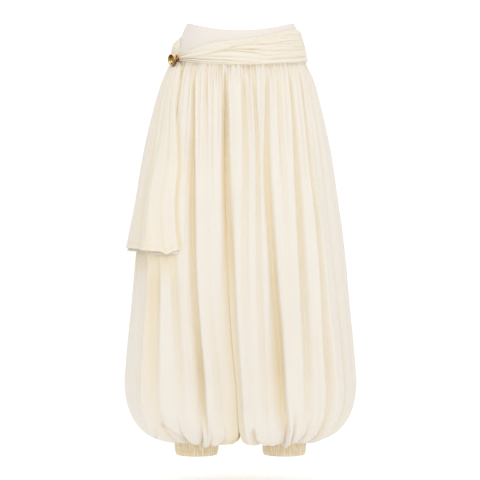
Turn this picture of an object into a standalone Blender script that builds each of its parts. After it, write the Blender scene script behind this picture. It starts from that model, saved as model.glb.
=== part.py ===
"""Balloon pants, filled out as if worn: a hip yoke, two gathered legs over narrow cuffs, and a sash with a clasp.

Metres, +Z up. The front faces -Y and the wearer's left is at +X. The origin is the middle of the waist, where the
wearer holds the garment. A drop is a distance below it, measured at the side seams.
"""

import math
from collections import namedtuple

import bmesh
import bpy
import numpy as np
from mathutils import Matrix, Vector

MM = 0.001

# Driving sizes
RIM_DROP = -0.012
YOKE_SEAM_DROP = 0.087
PARTS_FROM_DROP = 0.19
CROTCH_DROP = 0.43
WIDEST_DROP = 0.84
BALLOON_HEIGHT = 0.142
CUFF_CENTRE_X = 0.105
CUFF_RADIUS = 0.0535
CUFF_TOP_DROP = 0.966
HEM_DROP = 1.019
LEG_CLOTH = 1.9 * MM
YOKE_CLOTH = 2.0 * MM
SASH_CLOTH = 1.8 * MM
TAIL_CLOTH = 1.5 * MM
CUFF_CLOTH = 2.0 * MM
# Half the gap at a seam, and half the gap between the two legs
HALF_GAP = 0.15 * MM
LEG_GAP = 1.5 * MM

# How much lower the waist and the yoke seam lie in the middle of the front and of the back
RIM_DIP = {"front": 0.027, "back": 0.010}
SEAM_DIP = {"front": 0.017, "back": 0.008}
DIP_FADES_BY = 0.35

# How square the sections are: 2 is an ellipse. A leg is squarer where it faces the other one, and a larger
# INNER_SHARE keeps that to less of the way round. A larger PARTING_DELAY keeps the legs together further down.
HIP_ROUNDNESS = 2.15
INNER_LEG_ROUNDNESS = 10.0
INNER_SHARE = 1.5
PARTING_DELAY = 1.5

# Points along a section before the folds are laid on it
FINE = 161

Section = namedtuple("Section", "drop half_width front_depth back_depth")
YOKE_SECTIONS = (
    Section(-0.012, 0.1285, 0.094, 0.096),
    Section(0.010, 0.1385, 0.101, 0.103),
    Section(0.035, 0.1465, 0.107, 0.111),
    Section(0.060, 0.1520, 0.112, 0.118),
    Section(0.087, 0.1560, 0.116, 0.124),
)
LEG_SECTIONS = (
    Section(0.087, 0.1585, 0.118, 0.126),
    Section(0.100, 0.1655, 0.127, 0.134),
    Section(0.132, 0.1790, 0.139, 0.147),
    Section(0.170, 0.1890, 0.147, 0.157),
    Section(0.240, 0.2055, 0.155, 0.167),
    Section(0.315, 0.2200, 0.160, 0.171),
    Section(0.400, 0.2320, 0.163, 0.171),
    Section(0.480, 0.2435, 0.165, 0.170),
    Section(0.560, 0.2525, 0.167, 0.169),
    Section(0.665, 0.2620, 0.170, 0.170),
    Section(0.750, 0.2705, 0.172, 0.172),
    Section(0.840, 0.2780, 0.174, 0.174),
)

# The line between the legs swings to one side of the middle, more at the front than at the back
Swing = namedtuple("Swing", "drop front back")
SWINGS = (
    Swing(0.087, -0.037, 0.010),
    Swing(0.300, -0.036, 0.012),
    Swing(0.500, -0.030, 0.010),
    Swing(0.650, -0.024, 0.004),
    Swing(0.750, -0.017, -0.004),
    Swing(0.840, -0.008, -0.008),
)
SWING_AT_HEM = {"front": 0.010, "back": -0.012}

# Folds: each row is a valley, with its distance from the middle of the garment at four drops, seen from the front or
# the back, and its depth at three. Between two valleys the cloth rounds out to the full section.
FOLD_DROPS = (0.10, 0.30, 0.53, 0.84)
DEPTH_DROPS = (0.16, 0.48, 0.84)
Fold = namedtuple("Fold", "name x_top x_hip x_knee x_low deep_top deep_middle deep_low")
FOLDS = {
    "front_left": (
        Fold("d", 0.006, 0.009, 0.008, 0.020, 0.006, 0.004, 0.003),
        Fold("e", 0.030, 0.038, 0.042, 0.054, 0.006, 0.006, 0.006),
        Fold("f", 0.062, 0.062, 0.071, 0.089, 0.010, 0.014, 0.013),
        Fold("g", 0.086, 0.093, 0.106, 0.118, 0.008, 0.005, 0.004),
        Fold("h", 0.112, 0.128, 0.140, 0.151, 0.010, 0.014, 0.013),
        Fold("i", 0.136, 0.160, 0.182, 0.206, 0.009, 0.011, 0.013),
        Fold("j", 0.154, 0.186, 0.213, 0.244, 0.007, 0.009, 0.012),
    ),
    "front_right": (
        Fold("c", -0.080, -0.081, -0.078, -0.048, 0.007, 0.005, 0.007),
        Fold("a", -0.110, -0.113, -0.116, -0.092, 0.010, 0.014, 0.012),
        Fold("k", -0.132, -0.148, -0.154, -0.138, 0.009, 0.011, 0.012),
        Fold("l", -0.147, -0.175, -0.198, -0.196, 0.007, 0.009, 0.010),
        Fold("m", -0.159, -0.200, -0.228, -0.240, 0.005, 0.007, 0.011),
    ),
    "back_left": (
        Fold("p", 0.034, 0.042, 0.046, 0.052, 0.008, 0.007, 0.006),
        Fold("q", 0.066, 0.078, 0.090, 0.092, 0.010, 0.014, 0.012),
        Fold("r", 0.097, 0.118, 0.124, 0.139, 0.008, 0.006, 0.007),
        Fold("s", 0.128, 0.152, 0.171, 0.184, 0.009, 0.013, 0.012),
        Fold("t", 0.150, 0.186, 0.210, 0.236, 0.007, 0.009, 0.011),
    ),
    "back_right": (
        Fold("u", -0.024, -0.026, -0.034, -0.044, 0.008, 0.006, 0.005),
        Fold("v", -0.058, -0.062, -0.068, -0.080, 0.009, 0.013, 0.011),
        Fold("w", -0.094, -0.106, -0.119, -0.128, 0.009, 0.007, 0.008),
        Fold("x", -0.123, -0.149, -0.160, -0.176, 0.009, 0.014, 0.012),
        Fold("y", -0.149, -0.182, -0.208, -0.232, 0.007, 0.009, 0.012),
    ),
}
# Two more folds lie beyond those, round towards each side seam: their share of the cloth left there, and their depth
SIDE_FOLDS = ((0.36, 0.010), (0.70, 0.008))
# The plain strip beside the line between the legs, and the share of a fold's depth left at the yoke and at the cuff
CORNER = 0.016
FOLD_AT_SEAM = 0.3
FOLD_LEFT_AT_CUFF = 0.25
VALLEY_SHARPNESS = 0.6
# Small gathers between the folds, which fade below the yoke
GATHERS_PER_FOLD = 3
GATHER_DEPTH = 2.6 * MM
GATHERS_FADE_BY = 0.19
GATHER_SPARED_IN_VALLEY = 0.4
GATHER_LEFT_IN_VALLEY = 0.3

# Rows of points down a leg: drops down to the widest section, then places round the underside and up to the cuff
GATHER_DROPS = (0.087, 0.097, 0.118)
LEG_DROPS = (0.155, 0.21, 0.28, 0.35, 0.43, 0.53, 0.64, 0.75, 0.84)
UNDERSIDE_STEPS = (0.28, 0.52, 0.74, 0.90, 1.0)
CURL_STEPS = (0.5, 1.0)
# The underside turns through this arc, then curls up and in to lap over the cuff. A larger bagginess is squarer.
UNDERSIDE_ARC = math.radians(84)
CURL_RISE = 0.013
CURL_LAP = 0.4 * MM
CURL_SHARPNESS = 1.3
BAGGINESS = {"inner": 3.2, "front": 2.6, "outer": 2.15}

# The cuff's outer rows: their drop, and how far each stands out from the cuff's radius
CUFF_ROWS = ((CUFF_TOP_DROP, -1.4 * MM), (0.998, 0.0), (HEM_DROP, -0.8 * MM))
CUFF_RIBS = 46
CUFF_RIB_HEIGHT = 1.3 * MM
CUFF_UNDER_RIBS = 0.6 * MM
CUFF_LINING_POINTS = 30

IVORY = (0.86, 0.80, 0.71)
CREAM = (0.90, 0.83, 0.70)
BEIGE = (0.72, 0.58, 0.41)
GOLD = (0.83, 0.60, 0.25)


def smooth(xs, ys, at):
    """A smooth curve through a table's points, which doesn't overshoot them."""
    xs, ys = np.asarray(xs, float), np.asarray(ys, float)
    step = np.diff(xs)
    rise = np.diff(ys) / step
    slope = np.zeros_like(ys)
    same = rise[:-1] * rise[1:] > 0
    slope[1:-1][same] = 2 * rise[:-1][same] * rise[1:][same] / (rise[:-1] + rise[1:])[same]
    slope[0], slope[-1] = rise[0], rise[-1]
    at = np.clip(at, xs[0], xs[-1])
    i = np.clip(np.searchsorted(xs, at) - 1, 0, len(step) - 1)
    f = (at - xs[i]) / step[i]
    ends = ys[i] * (1 + 2 * f) * (1 - f) ** 2 + ys[i + 1] * f * f * (3 - 2 * f)
    return ends + step[i] * (slope[i] * f * (1 - f) ** 2 - slope[i + 1] * f * f * (1 - f))


def column(table, name):
    return [getattr(row, name) for row in table]


def ease(x):
    """Rises smoothly from 0 at 0 to 1 at 1."""
    x = np.clip(x, 0, 1)
    return x * x * (3 - 2 * x)


def power(x, p):
    return np.sign(x) * np.abs(x) ** p


def even(x, y, *others):
    """The same line with its points an equal distance apart, and any other values that go with them."""
    along = np.concatenate([[0], np.cumsum(np.hypot(np.diff(x), np.diff(y)))])
    at = np.linspace(0, along[-1], FINE)
    return [np.interp(at, along, values) for values in (x, y, *others)]


# Leg panels

def parting(drop):
    """How far the cloth has parted into two legs: 0 at the yoke, 1 at the crotch."""
    return ease((drop - PARTS_FROM_DROP) / (CROTCH_DROP - PARTS_FROM_DROP)) ** PARTING_DELAY


def hip_height(share):
    """How far forward the section that both legs share reaches, at a share of its half width."""
    return np.clip(1 - np.abs(share) ** HIP_ROUNDNESS, 0, 1) ** (1 / HIP_ROUNDNESS)


def leg_ring(width, depth):
    """Half of one leg's own section, flatter where the legs face each other."""
    turn = np.linspace(0, math.pi, 4 * FINE)
    inner = ease(1 - turn / math.pi) ** INNER_SHARE
    roundness = HIP_ROUNDNESS + (INNER_LEG_ROUNDNESS - HIP_ROUNDNESS) * inner
    return even(width / 2 * (1 - power(np.cos(turn), 2 / roundness)), depth * power(np.sin(turn), 2 / roundness))


def half_sizes(face, drop):
    drops = column(LEG_SECTIONS, "drop")
    width = smooth(drops, column(LEG_SECTIONS, "half_width"), drop)
    return width, smooth(drops, column(LEG_SECTIONS, face + "_depth"), drop)


def section_line(side, face, drop):
    """A level's section: across, forward, and how far out from the line between the legs. The legs part in a slit."""
    width, depth = half_sizes(face, drop)
    swing = smooth(column(SWINGS, "drop"), column(SWINGS, face), drop)
    parted = parting(drop)
    reach = width * (1 - np.cos(np.linspace(0, math.pi, 4 * FINE))) / 2
    leg = np.interp(reach, *leg_ring(width, depth))
    plain = (1 - parted) * depth * hip_height(reach / width) + parted * leg
    gap = HALF_GAP + parted**0.5 * (LEG_GAP - HALF_GAP)
    x = side * (gap + reach * (1 - gap / width)) + swing * ease(plain / depth) * (1 - (reach / width) ** 2)
    y = (1 - parted) * depth * hip_height(x / width) + parted * leg
    return even(x, y * depth / np.max(y), reach)


def panel_section(side, face, drop):
    """A leg panel's section at a level above the balloon, from the line between the legs to the side seam."""
    x, y, _ = section_line(side, face, drop)
    forward = np.clip(y / half_sizes(face, drop)[1], 0, 1)
    y = y + HALF_GAP
    dip = SEAM_DIP[face] * (1 - ease((drop - YOKE_SEAM_DROP) / (DIP_FADES_BY - YOKE_SEAM_DROP)))
    z = -(drop + dip * forward**2)
    return np.stack([x, y if face == "back" else -y, z], axis=1)


def panel_row(side, face, row):
    """A panel's section at a row: 0 to 1 down to the widest level, 1 to 2 round under it, 2 to 3 up to the cuff."""
    if row <= 1:
        return panel_section(side, face, YOKE_SEAM_DROP + row * (WIDEST_DROP - YOKE_SEAM_DROP))
    ring = panel_section(side, face, WIDEST_DROP)
    middle = np.array([side * CUFF_CENTRE_X, 0, 0])
    share = np.linspace(0, 1, FINE)
    centre_x = (ring[0, 0] + ring[-1, 0]) / 2
    turn = np.arctan2(np.abs(ring[:, 1]), -side * (ring[:, 0] - centre_x))
    turn = (turn - turn[0]) / (turn[-1] - turn[0]) * math.pi
    radius = CUFF_RADIUS + CURL_LAP
    cuff = middle + np.stack(
        [-side * radius * np.cos(turn), (1 if face == "back" else -1) * radius * np.sin(turn), 0 * turn], axis=1
    )
    cuff[:, 1] += (HALF_GAP if face == "back" else -HALF_GAP) * np.abs(np.cos(turn))
    forward = np.sin(turn)
    outward = (1 - np.cos(turn)) / 2
    bag = BAGGINESS["inner"] + (BAGGINESS["outer"] - BAGGINESS["inner"]) * outward
    bag = bag + (BAGGINESS["front"] - (BAGGINESS["inner"] + BAGGINESS["outer"]) / 2) * forward
    arc = min(row - 1, 1) * UNDERSIDE_ARC
    out = math.cos(arc) ** (2 / bag)
    down = math.sin(arc) ** (2 / bag)
    rise = 0.0
    if row > 2:
        curl = row - 2
        out = out * (1 - curl) ** CURL_SHARPNESS
        down = down + (1 - down) * min(1, 2 * curl)
        rise = CURL_RISE * curl**2
    swing = SWING_AT_HEM[face] - smooth(column(SWINGS, "drop"), column(SWINGS, face), WIDEST_DROP)
    points = cuff + out[:, None] * (ring - cuff)
    points[:, 2] = ring[:, 2] - BALLOON_HEIGHT * down + rise
    points[:, 0] += swing * down * out * ease(forward) * (1 - share) ** 2
    return points


def row_of_drop(drop):
    return (drop - YOKE_SEAM_DROP) / (WIDEST_DROP - YOKE_SEAM_DROP)


def drop_of_row(row):
    return YOKE_SEAM_DROP + min(row, 1) * (WIDEST_DROP - YOKE_SEAM_DROP)


def at_share(points, share):
    """The points at given shares of the way along a fine row."""
    fine = np.linspace(0, 1, len(points))
    return np.stack([np.interp(share, fine, points[:, k]) for k in range(3)], axis=1)


def panel_normals(side, face, row):
    """The outward directions of the plain section at each point of a row."""
    step = 0.004
    above = panel_row(side, face, max(row - step, 0))
    below = panel_row(side, face, min(row + step, 3))
    along = np.gradient(panel_row(side, face, row), axis=0)
    normal = np.cross(along, below - above)
    normal *= -side if face == "front" else side
    normal = normal / np.maximum(np.linalg.norm(normal, axis=1, keepdims=True), 1e-12)
    if row < row_of_drop(0.12):
        normal[:, 2] *= row / row_of_drop(0.12)
    return normal / np.linalg.norm(normal, axis=1, keepdims=True)


def fold_places(side, face, folds, row):
    """Where a panel's ridges and valleys lie along a row: places in fold counts, and shares of the row."""
    drop = drop_of_row(row)
    fine = np.linspace(0, 1, FINE)
    width = half_sizes(face, drop)[0]
    reach = section_line(side, face, drop)[2] + 1e-6 * fine
    swing = side * smooth(column(SWINGS, "drop"), column(SWINGS, face), drop)
    swung = reach + swing * (1 - (reach / width) ** 2)
    corner = np.interp(CORNER, reach, fine)
    narrower = min(1, width / half_sizes(face, FOLD_DROPS[0])[0])
    valleys = []
    for fold in folds:
        x = smooth(FOLD_DROPS, [fold.x_top, fold.x_hip, fold.x_knee, fold.x_low], drop)
        valleys.append(np.interp(side * x * narrower, swung, fine))
    last = valleys[-1]
    valleys += [last + (1 - last) * share for share, _ in SIDE_FOLDS]
    places, shares = [-1.0, 0.0], [0.0, corner]
    for k, valley in enumerate(valleys):
        if k:
            places.append(float(k))
            shares.append((valley + valleys[k - 1]) / 2)
        places.append(k + 0.5)
        shares.append(valley)
    places.append(float(len(valleys)))
    shares.append(1.0)
    return np.array(places), np.array(shares)


def fold_depth(folds, row, place):
    """How far the cloth dips in from the plain section at each place along a row."""
    drop = drop_of_row(row)
    number = np.clip(np.floor(place).astype(int), 0, len(folds) + len(SIDE_FOLDS) - 1)
    depths = [smooth(DEPTH_DROPS, [fold.deep_top, fold.deep_middle, fold.deep_low], drop) for fold in folds]
    deep = np.array(depths + [deep for _, deep in SIDE_FOLDS])[number]
    deep = deep * (FOLD_AT_SEAM + (1 - FOLD_AT_SEAM) * ease((drop - YOKE_SEAM_DROP) / 0.06))
    if row > 1:
        deep = deep * (1 - (1 - FOLD_LEFT_AT_CUFF) * ease((row - 1) / 1.6))
    across = np.abs(place - number - 0.5) * 2
    valley = 1 - np.sin(math.pi / 2 * np.clip(across, 0, 1)) ** VALLEY_SHARPNESS
    fade = 1 - ease((drop - YOKE_SEAM_DROP) / (GATHERS_FADE_BY - YOKE_SEAM_DROP))
    gather = GATHER_DEPTH * fade * (0.5 - 0.5 * np.cos(2 * math.pi * GATHERS_PER_FOLD * place))
    shallow = gather * (1 - GATHER_SPARED_IN_VALLEY * valley)
    return np.where(place < 0, 0, np.maximum(deep * valley, shallow) + GATHER_LEFT_IN_VALLEY * gather * valley)


def panel_points(side, face, folds, row, place):
    """A panel's outer and inner points at places along a row."""
    share = np.interp(place, *fold_places(side, face, folds, row))
    base = at_share(panel_row(side, face, row), share)
    normal = at_share(panel_normals(side, face, row), share)
    deep = fold_depth(folds, row, place)[:, None]
    return base - normal * deep, base - normal * (deep + LEG_CLOTH)


def leg_panel(name, side, face, material):
    folds = FOLDS[face + "_" + ("left" if side > 0 else "right")]
    count = len(folds) + len(SIDE_FOLDS)
    strip = np.linspace(-1, 0, 4)[:-1]
    fine = np.concatenate([strip, np.arange(0, count * 6 + 1) / 6])
    coarse = np.concatenate([strip, np.arange(0, count * 4 + 1) / 4])
    rows = [(row_of_drop(drop), fine) for drop in GATHER_DROPS]
    rows += [(row_of_drop(drop), coarse) for drop in LEG_DROPS]
    rows += [(1 + step, coarse) for step in UNDERSIDE_STEPS]
    rows += [(2 + step, coarse) for step in CURL_STEPS]
    outer, inner = [], []
    for row, places in rows:
        out, inside = panel_points(side, face, folds, row, places)
        if row == 0:
            out[:, 2] -= HALF_GAP
            inside[:, 2] = out[:, 2]
        outer.append((places, out))
        inner.append((places, inside))
    return wall(name, outer, inner, material)


# Yoke and sash

def hip_point(angle, share, lift=0.0):
    """A point on the yoke: angle round from the middle of the front, share of the way up from seam to rim."""
    face = "front" if math.cos(angle) >= 0 else "back"
    drop = YOKE_SEAM_DROP + share * (RIM_DROP - YOKE_SEAM_DROP)
    width = smooth(column(YOKE_SECTIONS, "drop"), column(YOKE_SECTIONS, "half_width"), drop)
    depth = smooth(column(YOKE_SECTIONS, "drop"), column(YOKE_SECTIONS, face + "_depth"), drop)
    sine, cosine = math.sin(angle), math.cos(angle)
    x = width * power(sine, 2 / HIP_ROUNDNESS)
    y = -depth * power(cosine, 2 / HIP_ROUNDNESS)
    out = Vector((power(sine, 2 - 2 / HIP_ROUNDNESS) / width, -power(cosine, 2 - 2 / HIP_ROUNDNESS) / depth, 0))
    dip = SEAM_DIP[face] + share * (RIM_DIP[face] - SEAM_DIP[face])
    point = Vector((x, y, -(drop + dip * abs(cosine) ** (4 / HIP_ROUNDNESS))))
    return point + out.normalized() * lift


def yoke_panel(name, face, material):
    start = -90 if face == "front" else 90
    places = np.linspace(0, 1, 23)
    outer, inner = [], []
    for share in (0, 0.33, 0.67, 1):
        out, inside = [], []
        for place in places:
            angle = math.radians(start + 180 * place)
            out.append(hip_point(angle, share))
            inside.append(hip_point(angle, share, -YOKE_CLOTH))
        out, inside = np.array(out), np.array(inside)
        for points in (out, inside):
            points[:, 1] += -HALF_GAP if face == "front" else HALF_GAP
            if share == 0:
                points[:, 2] += HALF_GAP
        outer.append((places, out))
        inner.append((places, inside))
    return wall(name, outer, inner, material)


# The sash's edges, as shares of the yoke's height, and how far its folds stand out. Angles go round from the middle
# of the front, in degrees, and the wearer's left side is at 90.
Wrap = namedtuple("Wrap", "angle lower upper fold_height lift")
SASH_FRONT = (
    Wrap(-68, 0.06, 0.20, 0.0040, 0.0040),
    Wrap(-60, 0.06, 0.25, 0.0042, 0.0034),
    Wrap(-43, 0.06, 0.44, 0.0040, 0.0022),
    Wrap(-25, 0.05, 0.63, 0.0036, 0.0014),
    Wrap(5, 0.05, 0.77, 0.0034, 0.0012),
    Wrap(29, 0.05, 0.83, 0.0032, 0.0012),
    Wrap(54, 0.04, 0.865, 0.0032, 0.0012),
    Wrap(90, 0.07, 0.84, 0.0034, 0.0012),
)
SASH_BACK = (
    Wrap(90, 0.07, 0.84, 0.0034, 0.0012),
    Wrap(130, 0.06, 0.80, 0.0034, 0.0014),
    Wrap(180, 0.06, 0.78, 0.0036, 0.0016),
    Wrap(230, 0.06, 0.74, 0.0044, 0.0020),
    Wrap(258, 0.06, 0.70, 0.0070, 0.0040),
    Wrap(272, 0.07, 0.62, 0.0100, 0.0060),
    Wrap(284, 0.08, 0.36, 0.0070, 0.0050),
)
SASH_FOLDS = {"sash_front": 7, "sash_back": 5}
SASH_CLEAR = 0.5 * MM


def sash_wrap(name, table, material):
    """One half of the sash, with folds that run along it and draw together at the clasp."""
    angles = column(table, "angle")
    places = np.linspace(0, 1, 21)
    folds = SASH_FOLDS[name]
    outer, inner = [], []
    for across in np.linspace(0, 1, 2 * folds + 1):
        out, inside = [], []
        for place in places:
            angle = angles[0] + (angles[-1] - angles[0]) * place
            lower, upper, height, lift = (
                float(smooth(angles, column(table, key), angle)) for key in ("lower", "upper", "fold_height", "lift")
            )
            share = lower + across * (upper - lower)
            edge = ease(min(across, 1 - across) * folds * 1.2)
            ridge = height * abs(math.sin(math.pi * folds * across)) + lift * edge
            turn = math.radians(angle)
            inside.append(hip_point(turn, share, SASH_CLEAR + ridge))
            out.append(hip_point(turn, share, SASH_CLEAR + ridge + SASH_CLOTH))
        out, inside = np.array(out), np.array(inside)
        for points in (out, inside):
            points[:, 1] += (-HALF_GAP if name == "sash_front" else HALF_GAP) * (points[:, 0] > 0)
        outer.append((places, out))
        inner.append((places, inside))
    return wall(name, outer, inner, material)


# The two hanging ends of the sash. The front edge is measured from the middle, the back edge is a share of the leg
# front's cloth, and the lifts are how far the edges stand off the leg.
End = namedtuple("End", "drop front_x back_share front_lift back_lift wave")
TAIL = (
    End(0.096, -0.140, 0.880, 0.0090, 0.0100, 0.0020),
    End(0.130, -0.146, 0.900, 0.0070, 0.0100, 0.0035),
    End(0.193, -0.152, 0.930, 0.0060, 0.0120, 0.0050),
    End(0.266, -0.151, 0.945, 0.0060, 0.0130, 0.0060),
    End(0.339, -0.148, 0.950, 0.0060, 0.0140, 0.0060),
    End(0.420, -0.152, 0.960, 0.0060, 0.0150, 0.0065),
    End(0.480, -0.152, 0.970, 0.0065, 0.0180, 0.0070),
    End(0.528, -0.146, 0.975, 0.0070, 0.0210, 0.0075),
)
TAIL_ROWS = 10
TAIL_WAVES = {"sash_tail": 6, "sash_tail_under": 4}
TAIL_WAVE_SHARPNESS = 1.4
# The end underneath: how far its front edge and its lowest point stand off the leg, the gap left under the end on
# top, how much its waves take, how much longer it is, and how far in its edges lie as shares of the leg's cloth
UNDER_LIFT = 2.9 * MM
UNDER_LOWEST = 1.7 * MM
BETWEEN_TAILS = 0.25 * MM
UNDER_WAVE = 0.21
UNDER_LONGER = 0.006
UNDER_INSET_TOP = 0.012
UNDER_INSET_FRONT = 0.010
UNDER_OUTSET_BACK = 0.006
UNDER_RISES_FROM = 0.45
UNDER_RISES_OVER = 0.5


def tail_end(name, material):
    """One hanging end of the sash, on the leg front's plain section, moved out."""
    under = name == "sash_tail_under"
    drops = column(TAIL, "drop")
    waves = TAIL_WAVES[name]
    places = np.linspace(0, 1, 3 * waves + 1)
    outer, inner = [], []
    for step in np.linspace(0, 1, TAIL_ROWS):
        bottom = drops[-1] + (UNDER_LONGER if under else 0)
        drop = drops[0] + step * (bottom - drops[0])
        front_x, back_share, front_lift, back_lift, wave = (
            float(smooth(drops, column(TAIL, key), drop)) for key in End._fields[1:]
        )
        row = row_of_drop(drop)
        section = panel_row(-1, "front", row)
        reach = np.maximum.accumulate(-section[:, 0]) + np.linspace(0, 1e-6, FINE)
        front_share = np.interp(-front_x, reach, np.linspace(0, 1, FINE))
        if under:
            inset = UNDER_INSET_TOP * (1 - step)
            front_share = front_share + inset + UNDER_INSET_FRONT
            back_share = back_share - inset + UNDER_OUTSET_BACK * step
        share = front_share + places * (back_share - front_share)
        base = at_share(section, share)
        normal = at_share(panel_normals(-1, "front", row), share) * (1, 1, 0)
        lift = front_lift + (back_lift - front_lift) * ease(places)
        ripple = np.abs(np.sin(math.pi * waves * places)) ** TAIL_WAVE_SHARPNESS
        if under:
            rising = ease((places - UNDER_RISES_FROM) / UNDER_RISES_OVER)
            lift = UNDER_LIFT + (lift - UNDER_LIFT - TAIL_CLOTH - BETWEEN_TAILS) * rising
            lift = np.maximum(lift + UNDER_WAVE * wave * (ripple - 1), UNDER_LOWEST)
        else:
            lift = lift + wave * ripple
        lift = lift[:, None]
        outer.append((places, base + normal * (lift + TAIL_CLOTH)))
        inner.append((places, base + normal * lift))
    return wall(name, outer, inner, material)


# Cuffs

def cuff(name, side, material):
    """A ring of elastic cloth, ribbed outside and plain inside."""
    count = 2 * CUFF_RIBS
    outer, inner = [], []
    for drop, grow in CUFF_ROWS:
        places = np.arange(count + 1) / count
        radius = CUFF_RADIUS + grow - CUFF_RIB_HEIGHT * (np.arange(count + 1) % 2)
        outer.append((places, ring_points(side, radius, places, drop)))
    for drop in (CUFF_TOP_DROP, HEM_DROP):
        places = np.arange(CUFF_LINING_POINTS + 1) / CUFF_LINING_POINTS
        radius = CUFF_RADIUS - CUFF_CLOTH - CUFF_RIB_HEIGHT - CUFF_UNDER_RIBS
        inner.append((places, ring_points(side, radius, places, drop)))
    return wall(name, outer, inner, material, closed=True)


def ring_points(side, radius, places, drop):
    turn = 2 * math.pi * places
    return np.stack(
        [side * CUFF_CENTRE_X + radius * np.cos(turn), radius * np.sin(turn), 0 * turn - drop], axis=1
    )


# Clasp: a flared cup turned about its axis, and a ring behind its neck

CLASP_ANGLE = math.radians(-71)
CLASP_SHARE = 0.10
CLASP_LIFT = 0.0153
CUP_TILT = (-0.80, -0.56, -0.16)
CUP_RIM_RADIUS = 0.0115
CUP_NECK_RADIUS = 0.0048
CUP_LENGTH = 0.013
RING_RADIUS = 0.0062
RING_WIRE = 0.0021
RING_RAISED = 0.0015


def clasp_frame():
    """The clasp's place on the sash, with its axis pointing away to the front and the wearer's right."""
    axis = Vector(CUP_TILT).normalized()
    across = axis.cross(Vector((0, 0, 1))).normalized()
    up = across.cross(axis)
    frame = Matrix((across, up, axis)).transposed().to_4x4()
    frame.translation = hip_point(CLASP_ANGLE, CLASP_SHARE, CLASP_LIFT)
    return frame


def clasp_cup(material):
    rim, neck, long = CUP_RIM_RADIUS, CUP_NECK_RADIUS, CUP_LENGTH
    profile = (
        (0.0, long * 0.62),
        (rim * 0.34, long * 0.58),
        (rim * 0.56, long * 0.44),
        (rim * 0.66, long * 0.47),
        (rim * 0.86, long * 0.92),
        (rim * 0.95, long),
        (rim, long * 0.93),
        (rim * 0.84, long * 0.55),
        (neck * 1.15, long * 0.30),
        (neck, long * 0.10),
        (neck * 1.1, 0.0),
        (0.0, 0.0),
    )
    mesh = bpy.data.meshes.new("clasp_cup")
    mesh.from_pydata([(r, 0, z) for r, z in reversed(profile)], [(i, i + 1) for i in range(len(profile) - 1)], [])
    cup = bpy.data.objects.new("clasp_cup", mesh)
    collection.objects.link(cup)
    turned = cup.modifiers.new("turned", "SCREW")
    turned.steps = turned.render_steps = 20
    turned.use_merge_vertices = True
    turned.merge_threshold = 0.00001
    turned.use_normal_calculate = True
    cup.matrix_world = clasp_frame()
    mesh.materials.append(material)
    return cup


def clasp_ring(material):
    bpy.ops.mesh.primitive_torus_add(
        major_radius=RING_RADIUS, minor_radius=RING_WIRE, major_segments=20, minor_segments=6
    )
    ring = bpy.context.object
    ring.name = "clasp_ring"
    move_to_collection(ring)
    behind = Matrix.Translation((0, RING_RAISED, -RING_WIRE - 2 * HALF_GAP))
    ring.matrix_world = clasp_frame() @ behind
    ring.data.materials.append(material)
    return ring


# Meshes

def stitch(faces, one, one_at, two, two_at):
    """Joins two rows of points with faces. Their places along the row may differ."""
    if len(one) == len(two):
        faces.extend((one[i], one[i + 1], two[i + 1], two[i]) for i in range(len(one) - 1))
        return
    i = j = 0
    while i < len(one) - 1 or j < len(two) - 1:
        first = j == len(two) - 1 or (i < len(one) - 1 and one_at[i + 1] <= two_at[j + 1] + 1e-9)
        if first:
            faces.append((one[i], one[i + 1], two[j]))
            i += 1
        else:
            faces.append((one[i], two[j + 1], two[j]))
            j += 1


def wall(name, outer, inner, material, closed=False):
    """A closed wall between rows of outer points and rows of inner points, each row with its places and points."""
    points, faces = [], []

    def number(rows):
        numbered = []
        for places, row in rows:
            count = len(row) - 1 if closed else len(row)
            index = list(range(len(points), len(points) + count))
            points.extend(map(tuple, row[:count]))
            numbered.append((index + index[:1] if closed else index, places))
        return numbered

    outside, inside = number(outer), number(inner)
    for rows in (outside, inside):
        for (one, one_at), (two, two_at) in zip(rows, rows[1:]):
            stitch(faces, one, one_at, two, two_at)
    for end in (0, -1):
        stitch(faces, outside[end][0], outside[end][1], inside[end][0], inside[end][1])
    if not closed:
        for end in (0, -1):
            stitch(faces, [row[0][end] for row in outside], None, [row[0][end] for row in inside], None)
    mesh = bpy.data.meshes.new(name)
    mesh.from_pydata(points, [], faces)
    edit = bmesh.new()
    edit.from_mesh(mesh)
    bmesh.ops.recalc_face_normals(edit, faces=edit.faces)
    edit.to_mesh(mesh)
    edit.free()
    mesh.materials.append(material)
    mesh.shade_smooth()
    piece = bpy.data.objects.new(name, mesh)
    collection.objects.link(piece)
    return piece


def finish(name, colour, roughness, metallic=0.0):
    material = bpy.data.materials.new(name)
    material.use_nodes = True
    shader = material.node_tree.nodes["Principled BSDF"]
    shader.inputs["Base Color"].default_value = (*colour, 1)
    shader.inputs["Roughness"].default_value = roughness
    shader.inputs["Metallic"].default_value = metallic
    return material


def move_to_collection(piece):
    for owner in list(piece.users_collection):
        owner.objects.unlink(piece)
    collection.objects.link(piece)


for leftover in list(bpy.data.objects):
    bpy.data.objects.remove(leftover, do_unlink=True)
collection = bpy.data.collections.new("balloon_pants")
bpy.context.scene.collection.children.link(collection)

crepe = finish("crepe", IVORY, 0.75)
sash_cloth = finish("sash_cloth", CREAM, 0.7)
elastic = finish("elastic_cuff", BEIGE, 0.85)
metal = finish("clasp_metal", GOLD, 0.22, 1.0)

for face in ("front", "back"):
    yoke_panel("yoke_" + face, face, crepe)
    for label, side in (("left", 1), ("right", -1)):
        leg_panel("leg_" + face + "_" + label, side, face, crepe)
for label, side in (("left", 1), ("right", -1)):
    cuff("cuff_" + label, side, elastic)
sash_wrap("sash_front", SASH_FRONT, sash_cloth)
sash_wrap("sash_back", SASH_BACK, sash_cloth)
tail_end("sash_tail", sash_cloth)
tail_end("sash_tail_under", sash_cloth)
clasp_cup(metal)
clasp_ring(metal)
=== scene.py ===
"""Balloon pants: the looks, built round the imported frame. Metres, +Z up, the wearer's front faces -Y."""

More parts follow.
